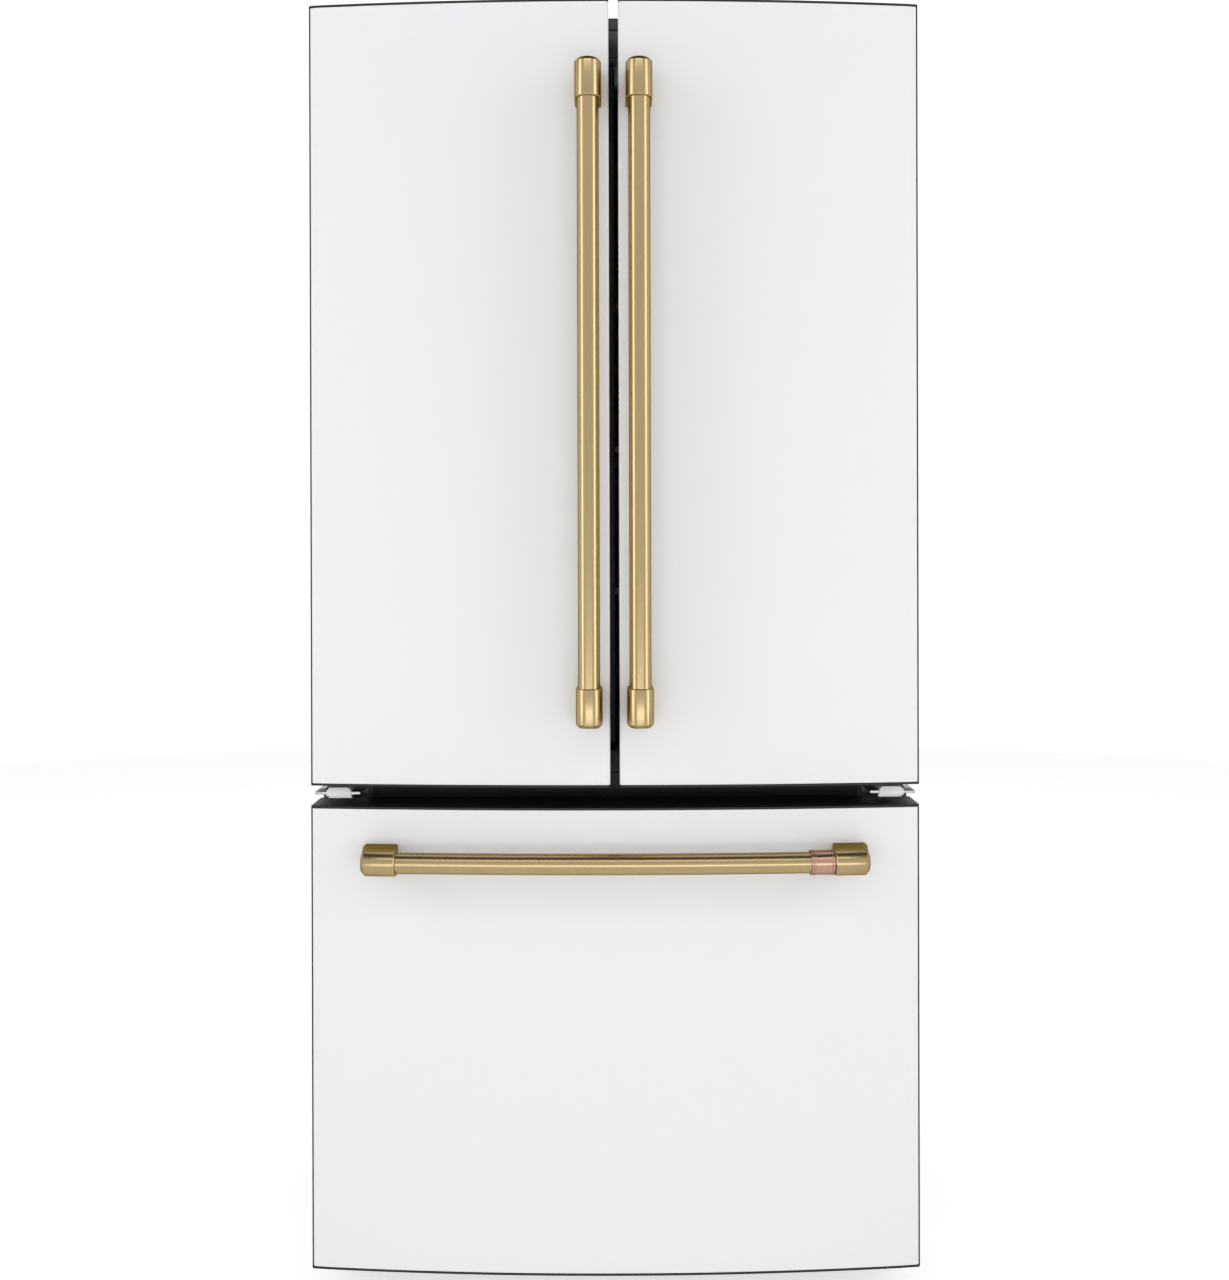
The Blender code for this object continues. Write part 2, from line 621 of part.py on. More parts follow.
def base_frame():
    """Steel base with skirts, leg bosses, roller brackets and the fan motor's bracket."""
    x = CASE_HALF - SHEET - CLEAR
    top = CASE_BOTTOM - CLEAR
    under = top - BASE_PLATE
    y0, y1 = CASE_FRONT + SHEET + CLEAR, BACK - SHEET - CLEAR
    base = box("base_frame", (-x, y0, under), (x, y1, top))
    extras = []
    for side in (-1, 1):
        extras.append(((side * x, y0 + 0.03, under - 0.016), (side * (x - 0.003), y1 - 0.02, under + 0.001)))
        hub = roller_place(side)
        for cheek in (-1, 1):
            near = hub.x + cheek * (ROLLER_HALF + 0.001)
            far = near + cheek * 0.003
            extras.append(((near, hub.y - 0.014, 0.008), (far, hub.y + 0.014, under + 0.001)))
    fan = fan_centre()
    extras.append(((fan.x - 0.052, fan.y - 0.02, top - 0.001), (fan.x - 0.046, fan.y + 0.02, fan.z + 0.02)))
    join(base, boxes("base_folds", extras))
    for side in (-1, 1):
        leg = (side * LEG_X, CASE_FRONT + LEG_SETBACK)
        join(base, rod("leg_boss", (*leg, 0.030), (*leg, under + 0.001), 0.012, 16))
        cut(base, rod("leg_hole", (*leg, 0.020), (*leg, top - 0.003), STEM_RADIUS + CLEAR, 16))
        hub = roller_place(side)
        reach = Vector((ROLLER_HALF + 0.012, 0.0, 0.0))
        cut(base, rod("roller_hole", hub - reach, hub + reach, PIN_RADIUS + PIN_SLIP, 12))
    motor = rod("fan_motor", fan + Vector((-0.048, 0, 0)), fan + Vector((-0.018, 0, 0)), 0.022, 20)
    join(base, motor)
    join(base, rod("fan_shaft", fan + Vector((-0.02, 0, 0)), fan + Vector((0.008, 0, 0)), 0.003, 12))
    dress(base, ZINC_STEEL)


def levelling_legs():
    """Screwed front feet; each turns in its boss to set the height."""
    for word, side in SIDES:
        place = Vector((side * LEG_X, CASE_FRONT + LEG_SETBACK, 0.0))
        axis = axis_at(word + "_leg_axis", place)
        rim = LEG_RADIUS
        profile = [
            (0.0, CASE_BOTTOM - 0.0045),
            (STEM_RADIUS, CASE_BOTTOM - 0.0045),
            (STEM_RADIUS, 0.012),
            (rim - 0.003, 0.009),
            (rim, 0.006),
            (rim, 0.001),
            (rim - 0.001, 0.0),
            (0.0, 0.0),
        ]
        dress(turned("levelling_leg_" + word, profile, place, 16), BLACK_RUBBER, axis)


def rear_rollers():
    """Rollers under the back that let the refrigerator be pushed into place."""
    for word, side in SIDES:
        hub = roller_place(side)
        half, stub = Vector((ROLLER_HALF, 0, 0)), Vector((ROLLER_HALF + 0.0037, 0, 0))
        wheel = chamfer(rod("rear_roller_" + word, hub - half, hub + half, ROLLER_RADIUS), 0.002)
        join(wheel, rod("roller_axle", hub - stub, hub + stub, PIN_RADIUS, 12))
        dress(wheel, BLACK_RUBBER, axis_at(word + "_roller_axis", hub))


def toe_grille():
    """Slotted plastic grille under the drawer."""
    x = CASE_HALF - 0.012
    y0 = CASE_FRONT + SHEET + 2 * CLEAR
    top = CASE_BOTTOM - BASE_PLATE - 2 * CLEAR
    grille = box("toe_grille", (-x, y0, 0.012), (x, y0 + 0.010, top))
    count = 12
    pitch = (2 * x - 0.04) / count
    slots = []
    for i in range(count):
        left = -x + 0.02 + i * pitch + 0.008
        slots.append(((left, y0 - 0.01, 0.021), (left + pitch - 0.016, y0 + 0.02, 0.029)))
        slots.append(((left, y0 - 0.01, 0.036), (left + pitch - 0.016, y0 + 0.02, 0.044)))
    dress(cut(grille, boxes("grille_slots", slots)), DARK_PLASTIC)


def top_hinges():
    """Steel hinge plates on the case top, with the pins that hold the doors' tops."""
    plate_low = DOOR_TOP + 0.0033
    for word, side in SIDES:
        inner, outer = side * (HINGE_X - 0.050), side * (HINGE_X + 0.008)
        plate = box(
            "top_hinge_" + word,
            (inner, HINGE_Y - 0.012, plate_low),
            (outer, CASE_FRONT + 0.120, plate_low + HINGE_PLATE),
        )
        foot_low = (inner, CASE_FRONT + 0.012, CASE_TOP + CLEAR)
        join(plate, box("hinge_foot", foot_low, (outer, CASE_FRONT + 0.120, plate_low + 0.001)))
        pin = (side * HINGE_X, HINGE_Y)
        join(plate, rod("top_pin", (*pin, DOOR_TOP - 0.014), (*pin, plate_low + 0.001), PIN_RADIUS, 16))
        dress(plate, ZINC_STEEL)
        low = (side * (HINGE_X - 0.062), CASE_FRONT + 0.006, CASE_TOP + CLEAR)
        high = (side * (CASE_HALF - 0.0005), CASE_FRONT + 0.150, CASE_TOP + HINGE_COVER_TOP)
        cover = hollow("hinge_cover_" + word, low, high, 0.0022, (2, -1))
        slot_low = (inner - side * 0.001, CASE_FRONT - 0.01, CASE_TOP - 0.01)
        slot = box("cover_slot", slot_low, (outer + side * 0.001, CASE_FRONT + 0.02, plate_low + HINGE_PLATE + 0.0006))
        dress(cut(cover, slot), DARK_PLASTIC)


def center_hinges():
    """Brackets between the doors and the drawer, with a pin up into each door and a moulded stop."""
    plate_z = DOOR_BOTTOM - 0.014
    for word, side in SIDES:
        inner, outer = side * (HINGE_X - 0.052), side * (HINGE_X + 0.010)
        front = HINGE_Y - 0.040
        back = CASE_FRONT - CLEAR
        bracket = box("center_hinge_" + word, (inner, front, plate_z), (outer, back, plate_z + HINGE_PLATE))
        fold = box("hinge_fold", (inner, back - 0.003, plate_z - 0.010), (outer, back, DOOR_BOTTOM + 0.004))
        join(bracket, fold)
        block_x = (side * (HINGE_X - 0.042), side * (HINGE_X - 0.008))
        block = box(
            "hinge_block",
            (block_x[0], front, plate_z - 0.007),
            (block_x[1], front + 0.030, plate_z + 0.006),
        )
        join(bracket, chamfer(block, 0.002))
        pin = (side * HINGE_X, HINGE_Y)
        join(bracket, rod("center_pin", (*pin, plate_z + 0.002), (*pin, DOOR_BOTTOM + 0.014), PIN_RADIUS, 16))
        dress(bracket, ZINC_STEEL)


def shelves():
    """Glass shelves on the liner's ledges, and the shelf that covers the crispers."""
    front, back = CASE_FRONT + SHELF_FRONT, CAVITY_BACK - SHEET - 0.010
    x = CAVITY_HALF - CLEAR
    for name, level in list(shelf_levels().items()) + [("crisper_shelf", CRISPER_SHELF)]:
        dress(box(name, (-x, front, level), (x, back, level + SHELF_THICK)), GLASS)


def crispers():
    """Two clear drawers under the crisper shelf."""
    front = CASE_FRONT + SHELF_FRONT - 0.008
    for word, side in SIDES:
        axis = axis_at(word + "_crisper_axis", (side * CAVITY_HALF / 2, front, FRESH_FLOOR))
        low = (side * 0.003, front, FRESH_FLOOR + CLEAR)
        high = (side * (CAVITY_HALF - 0.003), front + CRISPER_DEPTH, CRISPER_TOP)
        drawer = hollow("crisper_" + word, low, high, CRISPER_WALL, (2, 1))
        middle = side * CAVITY_HALF / 2
        grip = box(
            "crisper_grip",
            (middle - 0.09, front - 0.010, CRISPER_TOP - 0.030),
            (middle + 0.09, front + 0.001, CRISPER_TOP - 0.018),
        )
        dress(join(drawer, grip), CLEAR_PLASTIC, axis)


def control_panel():
    """Housing on the ceiling with one press button."""
    y0, y1 = CASE_FRONT + 0.034, CASE_FRONT + 0.104
    low = FRESH_CEILING - PANEL_DROP
    panel = box("control_panel", (-PANEL_HALF, y0, low), (PANEL_HALF, y1, FRESH_CEILING - CLEAR))
    spot = (0.0, (y0 + y1) / 2)
    cut(panel, rod("button_well", (*spot, low - 0.01), (*spot, low + 0.011), BUTTON_RADIUS + BUTTON_SLIP, 20))
    dress(panel, WHITE_PLASTIC)
    button = rod("fridge_button", (*spot, low - 0.002), (*spot, low + 0.008), BUTTON_RADIUS, 20)
    dress(chamfer(button, 0.001), DARK_PLASTIC, axis_at("button_axis", (*spot, low)))


def compressor():
    """Welded steel can on a foot plate, on the base in the machine room."""
    low = CASE_BOTTOM + CLEAR
    tall = MACHINE_TOP - CASE_BOTTOM - 0.035
    r = COMPRESSOR_RADIUS
    bends = 6
    dome = [math.radians(90 * i / bends) for i in range(bends + 1)]
    bulge = r * 0.45
    profile = [(r * math.sin(a), tall - bulge + bulge * math.cos(a)) for a in dome]
    profile += [(r * math.cos(a), 0.012 + bulge - bulge * math.sin(a)) for a in dome[:-1]]
    profile += [(0.0, 0.012)]
    profile = [(max(0.0, radius), height) for radius, height in profile]
    profile[0] = (0.0, tall)
    centre = Vector((COMPRESSOR_X, BACK - MACHINE_DEPTH / 2, low))
    can = turned("compressor", profile, centre, 20)
    foot = (0.085, 0.055)
    plate_low = (centre.x - foot[0], centre.y - foot[1], low)
    join(can, box("compressor_foot", plate_low, (centre.x + foot[0], centre.y + foot[1], low + 0.016)))
    dress(can, BLACK_STEEL)


def condenser_fan():
    """Five-bladed fan that turns on the motor's shaft."""
    hub = fan_centre()
    fan = rod("condenser_fan", hub + Vector((-0.0175, 0, 0)), hub + Vector((0.012, 0, 0)), 0.017, 20)
    blades = bmesh.new()
    for i in range(5):
        turn = Matrix.Rotation(math.tau * i / 5, 4, "X")
        pitch = Matrix.Rotation(math.radians(32), 4, "Z")
        reach = (FAN_RADIUS + 0.012) / 2
        shape = Matrix.Diagonal((0.0025, 0.030, FAN_RADIUS - 0.012, 1.0))
        place = Matrix.Translation(hub) @ turn @ Matrix.Translation((-0.002, 0, reach)) @ pitch @ shape
        bmesh.ops.create_cube(blades, size=1.0, matrix=place)
    join(fan, object_of("fan_blades", blades))
    cut(fan, rod("fan_bore", hub + Vector((-0.03, 0, 0)), hub + Vector((0.0085, 0, 0)), 0.0034, 12))
    dress(fan, DARK_PLASTIC, axis_at("condenser_fan_axis", hub))


# ---------------------------------------------------------------- upper doors
def door_liner(word, side, axis):
    """Inner plastic wall of a door, with the raised ridge that holds the bins."""
    z0, z1 = DOOR_BOTTOM + 0.005, DOOR_TOP - 0.005
    x_in, x_out = side * (DOOR_GAP / 2 + 0.0016), side * (HALF - 0.003)
    liner = box(word + "_liner", (x_in, FRAME_BACK + CLEAR, z0), (x_out, LINER_BACK, z1))
    top = LINER_BACK + DIKE_DEPTH
    ridge = box("door_ridge", (side * DIKE_INNER, LINER_BACK - 0.002, DIKE_LOW), (side * DIKE_OUTER, top, DIKE_HIGH))
    join(liner, ridge)
    pocket = box(
        "door_pocket",
        (side * (BIN_IN - 0.0005), LINER_BACK - 0.0137, DIKE_LOW + DIKE_WALL),
        (side * (BIN_OUT + 0.0005), top + 0.01, DIKE_HIGH - DIKE_WALL),
    )
    cut(liner, pocket)
    if side < 0:
        ears = []
        for low in (DIKE_LOW, DIKE_HIGH - 0.0065):
            ear_low = (-DIKE_INNER - 0.004, FLAP_Y - 0.006, low)
            ears.append((ear_low, (-FLAP_PIVOT + 0.006, FLAP_Y + 0.006, low + 0.0065)))
        join(liner, boxes("flap_ears", ears))
        hole = (-FLAP_PIVOT, FLAP_Y)
        for low in (DIKE_LOW, DIKE_HIGH - 0.0065):
            drill = rod("flap_hole", (*hole, low - 0.01), (*hole, low + 0.02), FLAP_PIN + CLEAR, 12)
            cut(liner, drill)
    dress(liner, WHITE_PLASTIC, axis)


def door_bin(name, side, level, axis):
    """Clear bin that clips between a door's ridges, open at the top."""
    back = LINER_BACK - 0.0137 + CLEAR
    low, high = (side * BIN_IN, back, level), (side * BIN_OUT, back + BIN_DEPTH, level + BIN_HEIGHT)
    return dress(hollow(name, low, high, BIN_WALL, (2, 1)), CLEAR_PLASTIC, axis)


def dairy_lid(dairy_bin, level, door_axis):
    """Lid over the right door's upper bin; its pins turn in two ears of the bin."""
    back = LINER_BACK - 0.0137 + CLEAR
    pivot = Vector((0.0, back + 0.006, level + BIN_HEIGHT + 0.008))
    ears, holes = [], []
    for edge, inward in ((BIN_IN, 1), (BIN_OUT, -1)):
        low = (edge, back, level + BIN_HEIGHT - 0.02)
        ears.append((low, (edge + inward * BIN_WALL, back + 0.012, pivot.z + 0.006)))
        holes.append(edge)
    join(dairy_bin, boxes("lid_ears", ears))
    for edge in holes:
        start = Vector((edge - 0.006, pivot.y, pivot.z))
        cut(dairy_bin, rod("lid_hole", start, start + Vector((0.012, 0, 0)), 0.002 + CLEAR, 12))
    x0, x1 = BIN_IN + BIN_WALL + 0.0005, BIN_OUT - BIN_WALL - 0.0005
    lid = box("dairy_lid", (x0, pivot.y - 0.002, pivot.z - 0.002), (x1, back + BIN_DEPTH, pivot.z + 0.002))
    lip = box("lid_lip", (x0, back + BIN_DEPTH - 0.003, pivot.z - 0.007), (x1, back + BIN_DEPTH, pivot.z))
    join(lid, lip)
    pins = rod("lid_pins", (x0 - 0.003, pivot.y, pivot.z), (x1 + 0.003, pivot.y, pivot.z), 0.002, 12)
    axis = axis_at("dairy_lid_axis", (0.0, pivot.y, pivot.z))
    axis.parent = door_axis
    join(lid, pins)
    dress(lid, CLEAR_PLASTIC, axis)
    axis.location = pivot - door_axis.location


def mullion_flap(door_axis):
    """Hinged sealing flap on the left door's free edge; its face closes the gap between the doors."""
    pivot = Vector((-FLAP_PIVOT, FLAP_Y, 0.0))
    low, high = DIKE_LOW + 0.007, DIKE_HIGH - 0.007
    half = FLAP_DEPTH / 2
    flap = box("mullion_flap", (-FLAP_PIVOT - 0.004, FLAP_Y - half, low), (FLAP_REACH, FLAP_Y + half, high))
    chamfer(flap, 0.0015)
    spot = (pivot.x, pivot.y)
    join(flap, rod("flap_pins", (*spot, low - 0.0055), (*spot, high + 0.0055), FLAP_PIN, 12))
    axis = axis_at("mullion_flap_axis", pivot)
    axis.parent = door_axis
    dress(flap, DARK_PLASTIC, axis)
    axis.location = pivot - door_axis.location


def upper_door(word, side):
    """Build one upper door with its handle, inner wall, seal and bins."""
    axis = axis_at(word + "_door_axis", (side * HINGE_X, HINGE_Y, 0.0))
    frame = front_pieces(word + "_door", side, DOOR_GAP / 2, HALF, DOOR_BOTTOM, DOOR_TOP, FRAME_BACK, axis)
    pin = (side * HINGE_X, HINGE_Y)
    bore = PIN_RADIUS + PIN_SLIP
    cut(frame, rod("low_bore", (*pin, DOOR_BOTTOM - 0.01), (*pin, DOOR_BOTTOM + 0.015), bore, 16))
    cut(frame, rod("high_bore", (*pin, DOOR_TOP - 0.015), (*pin, DOOR_TOP + 0.01), bore, 16))
    door_liner(word + "_door", side, axis)
    seal = ring_plate(
        word + "_door_gasket",
        (side * (DOOR_GAP / 2 + 0.0055), side * (HALF - SEAL_INSET)),
        (DOOR_BOTTOM + 0.008, DOOR_TOP - SEAL_DROP),
        SEAL_WIDTH,
        (DOOR_BACK, CASE_FRONT - 2 * CLEAR),
    )
    dress(seal, GREY_RUBBER, axis)
    upright_handle(word, side, axis)
    door_bin(word + "_lower_bin", side, BIN_LEVELS[0], axis)
    upper = door_bin(word + "_upper_bin", side, BIN_LEVELS[1], axis)
    if side > 0:
        dairy_lid(upper, BIN_LEVELS[1], axis)
    else:
        mullion_flap(axis)


# ---------------------------------------------------------------- freezer drawer
def drawer_rails():
    """Fixed channels on the freezer's walls and the middle members that ride in them."""
    half = RAIL_HEIGHT / 2
    y0, y1 = RAIL_FRONT, RAIL_FRONT + RAIL_LENGTH
    outer = CAVITY_HALF - CLEAR
    for word, side in SIDES:
        rail = box("drawer_rail_" + word, (side * (outer - 0.017), y0, RAIL_Z - half), (side * outer, y1, RAIL_Z + half))
        slot_low = (side * (outer - 0.02), y0 - 0.01, RAIL_Z - half + 0.006)
        cut(rail, box("rail_slot", slot_low, (side * (outer - 0.003), y1 + 0.01, RAIL_Z + half - 0.006)))
        dress(rail, ZINC_STEEL)
        axis = axis_at(word + "_slide_axis", (side * outer, y0, RAIL_Z))
        high = half - 0.006 - CLEAR
        tongue = outer - 0.003 - CLEAR
        slide = box(
            "drawer_slide_" + word, (side * (tongue - 0.011), y0, RAIL_Z - high), (side * tongue, y1, RAIL_Z + high)
        )
        groove_low = (side * (tongue - 0.02), y0 - 0.01, RAIL_Z - high + 0.005)
        cut(slide, box("slide_groove", groove_low, (side * (tongue - 0.003), y1 + 0.01, RAIL_Z + high - 0.005)))
        dress(slide, ZINC_STEEL, axis)


def drawer_bin(axis):
    """Deep freezer basket behind the drawer front, with runners that ride in the middle slides."""
    y0 = DOOR_BACK + 0.0006
    z0 = FREEZER_FLOOR + FREEZER_BIN_LIFT
    x = FREEZER_BIN_HALF
    y1 = RAIL_FRONT + RAIL_LENGTH - 0.015
    basket = hollow("drawer_bin", (-x, y0, z0), (x, y1, z0 + FREEZER_BIN_HEIGHT), FREEZER_BIN_WALL, (2, 1))
    high = RAIL_HEIGHT / 2 - 0.006 - 0.005 - 2 * CLEAR
    reach = CAVITY_HALF - CLEAR - 0.006 - 2 * CLEAR
    runners = []
    for side in (-1, 1):
        start = (side * (x - 0.002), RAIL_FRONT + 0.002, RAIL_Z - high)
        runners.append((start, (side * reach, y1 - 0.002, RAIL_Z + high)))
    join(basket, boxes("bin_runners", runners))
    dress(basket, WHITE_PLASTIC, axis)


def drawer_tray(drawer_axis):
    """Shallow tray that slides back and forth on the rim of the freezer basket."""
    z0 = FREEZER_FLOOR + FREEZER_BIN_LIFT + FREEZER_BIN_HEIGHT + CLEAR
    y0 = CASE_FRONT + 0.110
    low, high = (-FREEZER_BIN_HALF, y0, z0), (FREEZER_BIN_HALF, y0 + TRAY_DEPTH, z0 + TRAY_HEIGHT)
    axis = axis_at("drawer_tray_axis", (0.0, y0, z0))
    axis.parent = drawer_axis
    dress(hollow("drawer_tray", low, high, BIN_WALL, (2, 1)), CLEAR_PLASTIC, axis)
    axis.location = axis.location - drawer_axis.location


def freezer_drawer():
    """Build the drawer front with its handle, seal, basket and tray."""
    axis = axis_at("freezer_drawer_axis", (0.0, CASE_FRONT, FREEZER_FLOOR))
    front_pieces("drawer", 1, -HALF, HALF, DRAWER_BOTTOM, DRAWER_TOP, LINER_BACK, axis)
    seal = ring_plate(
        "drawer_gasket",
        (-HALF + SEAL_INSET, HALF - SEAL_INSET),
        (CASE_BOTTOM + 0.004, DRAWER_TOP - 0.012),
        SEAL_WIDTH,
        (DOOR_BACK, CASE_FRONT - 2 * CLEAR),
    )
    dress(seal, GREY_RUBBER, axis)
    drawer_handle(axis)
    drawer_bin(axis)
    drawer_tray(axis)


def build():
    """Put the refrigerator together from the cabinet outwards."""
    start_scene()
    outer_case()
    cabinet_foam()
    fresh_food_liner()
    freezer_liner()
    rear_panel()
    machine_cover()
    base_frame()
    levelling_legs()
    rear_rollers()
    toe_grille()
    top_hinges()
    center_hinges()
    shelves()
    crispers()
    control_panel()
    compressor()
    condenser_fan()
    for word, side in SIDES:
        upper_door(word, side)
    drawer_rails()
    freezer_drawer()


build()
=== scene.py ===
import math

import bmesh
import bpy
from mathutils import Matrix, Vector


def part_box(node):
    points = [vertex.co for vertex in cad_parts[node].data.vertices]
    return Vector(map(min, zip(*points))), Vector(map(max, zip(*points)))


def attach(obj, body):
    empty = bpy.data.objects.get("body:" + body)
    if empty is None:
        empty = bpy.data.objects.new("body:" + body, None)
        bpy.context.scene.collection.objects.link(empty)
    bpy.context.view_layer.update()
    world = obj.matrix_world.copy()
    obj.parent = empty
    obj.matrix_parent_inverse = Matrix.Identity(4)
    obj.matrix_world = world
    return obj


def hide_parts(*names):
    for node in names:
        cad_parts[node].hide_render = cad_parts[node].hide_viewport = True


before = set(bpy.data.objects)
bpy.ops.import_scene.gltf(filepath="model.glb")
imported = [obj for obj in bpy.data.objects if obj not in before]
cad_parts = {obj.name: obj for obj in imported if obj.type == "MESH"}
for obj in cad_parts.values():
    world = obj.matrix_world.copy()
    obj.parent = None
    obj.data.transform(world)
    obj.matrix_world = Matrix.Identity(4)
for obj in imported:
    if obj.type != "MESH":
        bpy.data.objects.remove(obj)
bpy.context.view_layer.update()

# ------------------------------------------------------------------ camera, light and floor
# The refrigerator stands on a plain pale floor before a white backdrop, seen square from the front and
# a little above its middle. Two tall soft lights stand at the sides, wide ones in front, high and low,
# and one hangs behind.
EYE = Vector((0.0, -2.398, 1.005))
EYE_PITCH = 0.12
EYE_ROLL = -0.147
LENS = 43.0
VIEW_SHIFT = -0.06

camera_data = bpy.data.cameras.new("camera")
camera_data.lens = LENS
camera_data.shift_y = VIEW_SHIFT
camera = bpy.data.objects.new("camera", camera_data)
camera.matrix_world = (
    Matrix.Translation(EYE)
    @ Matrix.Rotation(math.radians(90 - EYE_PITCH), 4, "X")
    @ Matrix.Rotation(math.radians(EYE_ROLL), 4, "Z")
)
bpy.context.scene.collection.objects.link(camera)
bpy.context.scene.camera = camera
bpy.context.scene.view_settings.view_transform = "Standard"


def soft_light(name, place, aim, width, height, power):
    """Hang a rectangular soft light that faces a point."""
    data = bpy.data.lights.new(name, "AREA")
    data.shape = "RECTANGLE"
    data.size = width
    data.size_y = height
    data.energy = power
    lamp = bpy.data.objects.new(name, data)
    direction = Vector(aim) - Vector(place)
    lamp.matrix_world = Matrix.Translation(place) @ direction.to_track_quat("-Z", "Y").to_matrix().to_4x4()
    bpy.context.scene.collection.objects.link(lamp)
    return lamp


for side in (-1, 1):
    soft_light("side_light", (side * 2.5, -1.35, 1.75), (0.0, -0.3, 1.75), 0.85, 3.4, 18)
soft_light("front_light", (0.0, -3.0, 3.6), (0.0, -0.3, 0.9), 3.4, 0.9, 14)
soft_light("low_front_light", (0.0, -3.0, 0.3), (0.0, -0.3, 0.6), 3.4, 0.5, 11)
soft_light("back_light", (0.0, 3.2, 2.9), (0.0, 0.3, 0.9), 3.0, 1.6, 14)

world = bpy.data.worlds.new("studio")
bpy.context.scene.world = world
world.use_nodes = True
sky = world.node_tree.nodes
sky.clear()
surround = sky.new("ShaderNodeBackground")
surround.inputs["Strength"].default_value = 0.88
backdrop = sky.new("ShaderNodeBackground")
backdrop.inputs["Color"].default_value = (1.0, 1.0, 1.0, 1.0)
backdrop.inputs["Strength"].default_value = 1.05
seen = sky.new("ShaderNodeLightPath")
choose = sky.new("ShaderNodeMixShader")
shown = sky.new("ShaderNodeOutputWorld")
upward = sky.new("ShaderNodeTexCoord")
height = sky.new("ShaderNodeSeparateXYZ")
ceiling = sky.new("ShaderNodeValToRGB")
ceiling.color_ramp.elements[0].position = 0.45
ceiling.color_ramp.elements[0].color = (0.80, 0.81, 0.83, 1.0)
ceiling.color_ramp.elements[1].position = 0.85
ceiling.color_ramp.elements[1].color = (0.07, 0.07, 0.07, 1.0)
links = world.node_tree.links
links.new(upward.outputs["Generated"], height.inputs[0])
links.new(height.outputs["Z"], ceiling.inputs[0])
links.new(ceiling.outputs[0], surround.inputs["Color"])
links.new(seen.outputs["Is Camera Ray"], choose.inputs[0])
links.new(surround.outputs[0], choose.inputs[1])
links.new(backdrop.outputs[0], choose.inputs[2])
links.new(choose.outputs[0], shown.inputs[0])

floor_mesh = bpy.data.meshes.new("floor")
floor_bm = bmesh.new()
bmesh.ops.create_circle(floor_bm, cap_ends=True, segments=96, radius=6.0)
floor_bm.to_mesh(floor_mesh)
floor_bm.free()
floor = bpy.data.objects.new("floor", floor_mesh)
floor.location.z = -0.0005
bpy.context.scene.collection.objects.link(floor)
paper = bpy.data.materials.new("pale floor")
paper.use_nodes = True
paper_shader = paper.node_tree.nodes["Principled BSDF"]
paper_shader.inputs["Base Color"].default_value = (0.86, 0.86, 0.86, 1.0)
paper_shader.inputs["Roughness"].default_value = 0.9
paper_shader.inputs["Specular IOR Level"].default_value = 0.1
paper_shader.inputs["Emission Color"].default_value = (1.0, 1.0, 1.0, 1.0)
paper_seen = paper.node_tree.nodes.new("ShaderNodeLightPath")
paper_glow = paper.node_tree.nodes.new("ShaderNodeMapRange")
paper_glow.inputs["To Min"].default_value = 0.25
paper_glow.inputs["To Max"].default_value = 0.66
paper.node_tree.links.new(paper_seen.outputs["Is Camera Ray"], paper_glow.inputs["Value"])
paper.node_tree.links.new(paper_glow.outputs["Result"], paper_shader.inputs["Emission Strength"])
floor_mesh.materials.append(paper)

# ------------------------------------------------------------------ outer case and rear panel
# The cabinet's wrapper is one folded steel sheet, painted slate grey with a fine texture. The rear panel
# is a flat sheet screwed on behind, over the insulation.


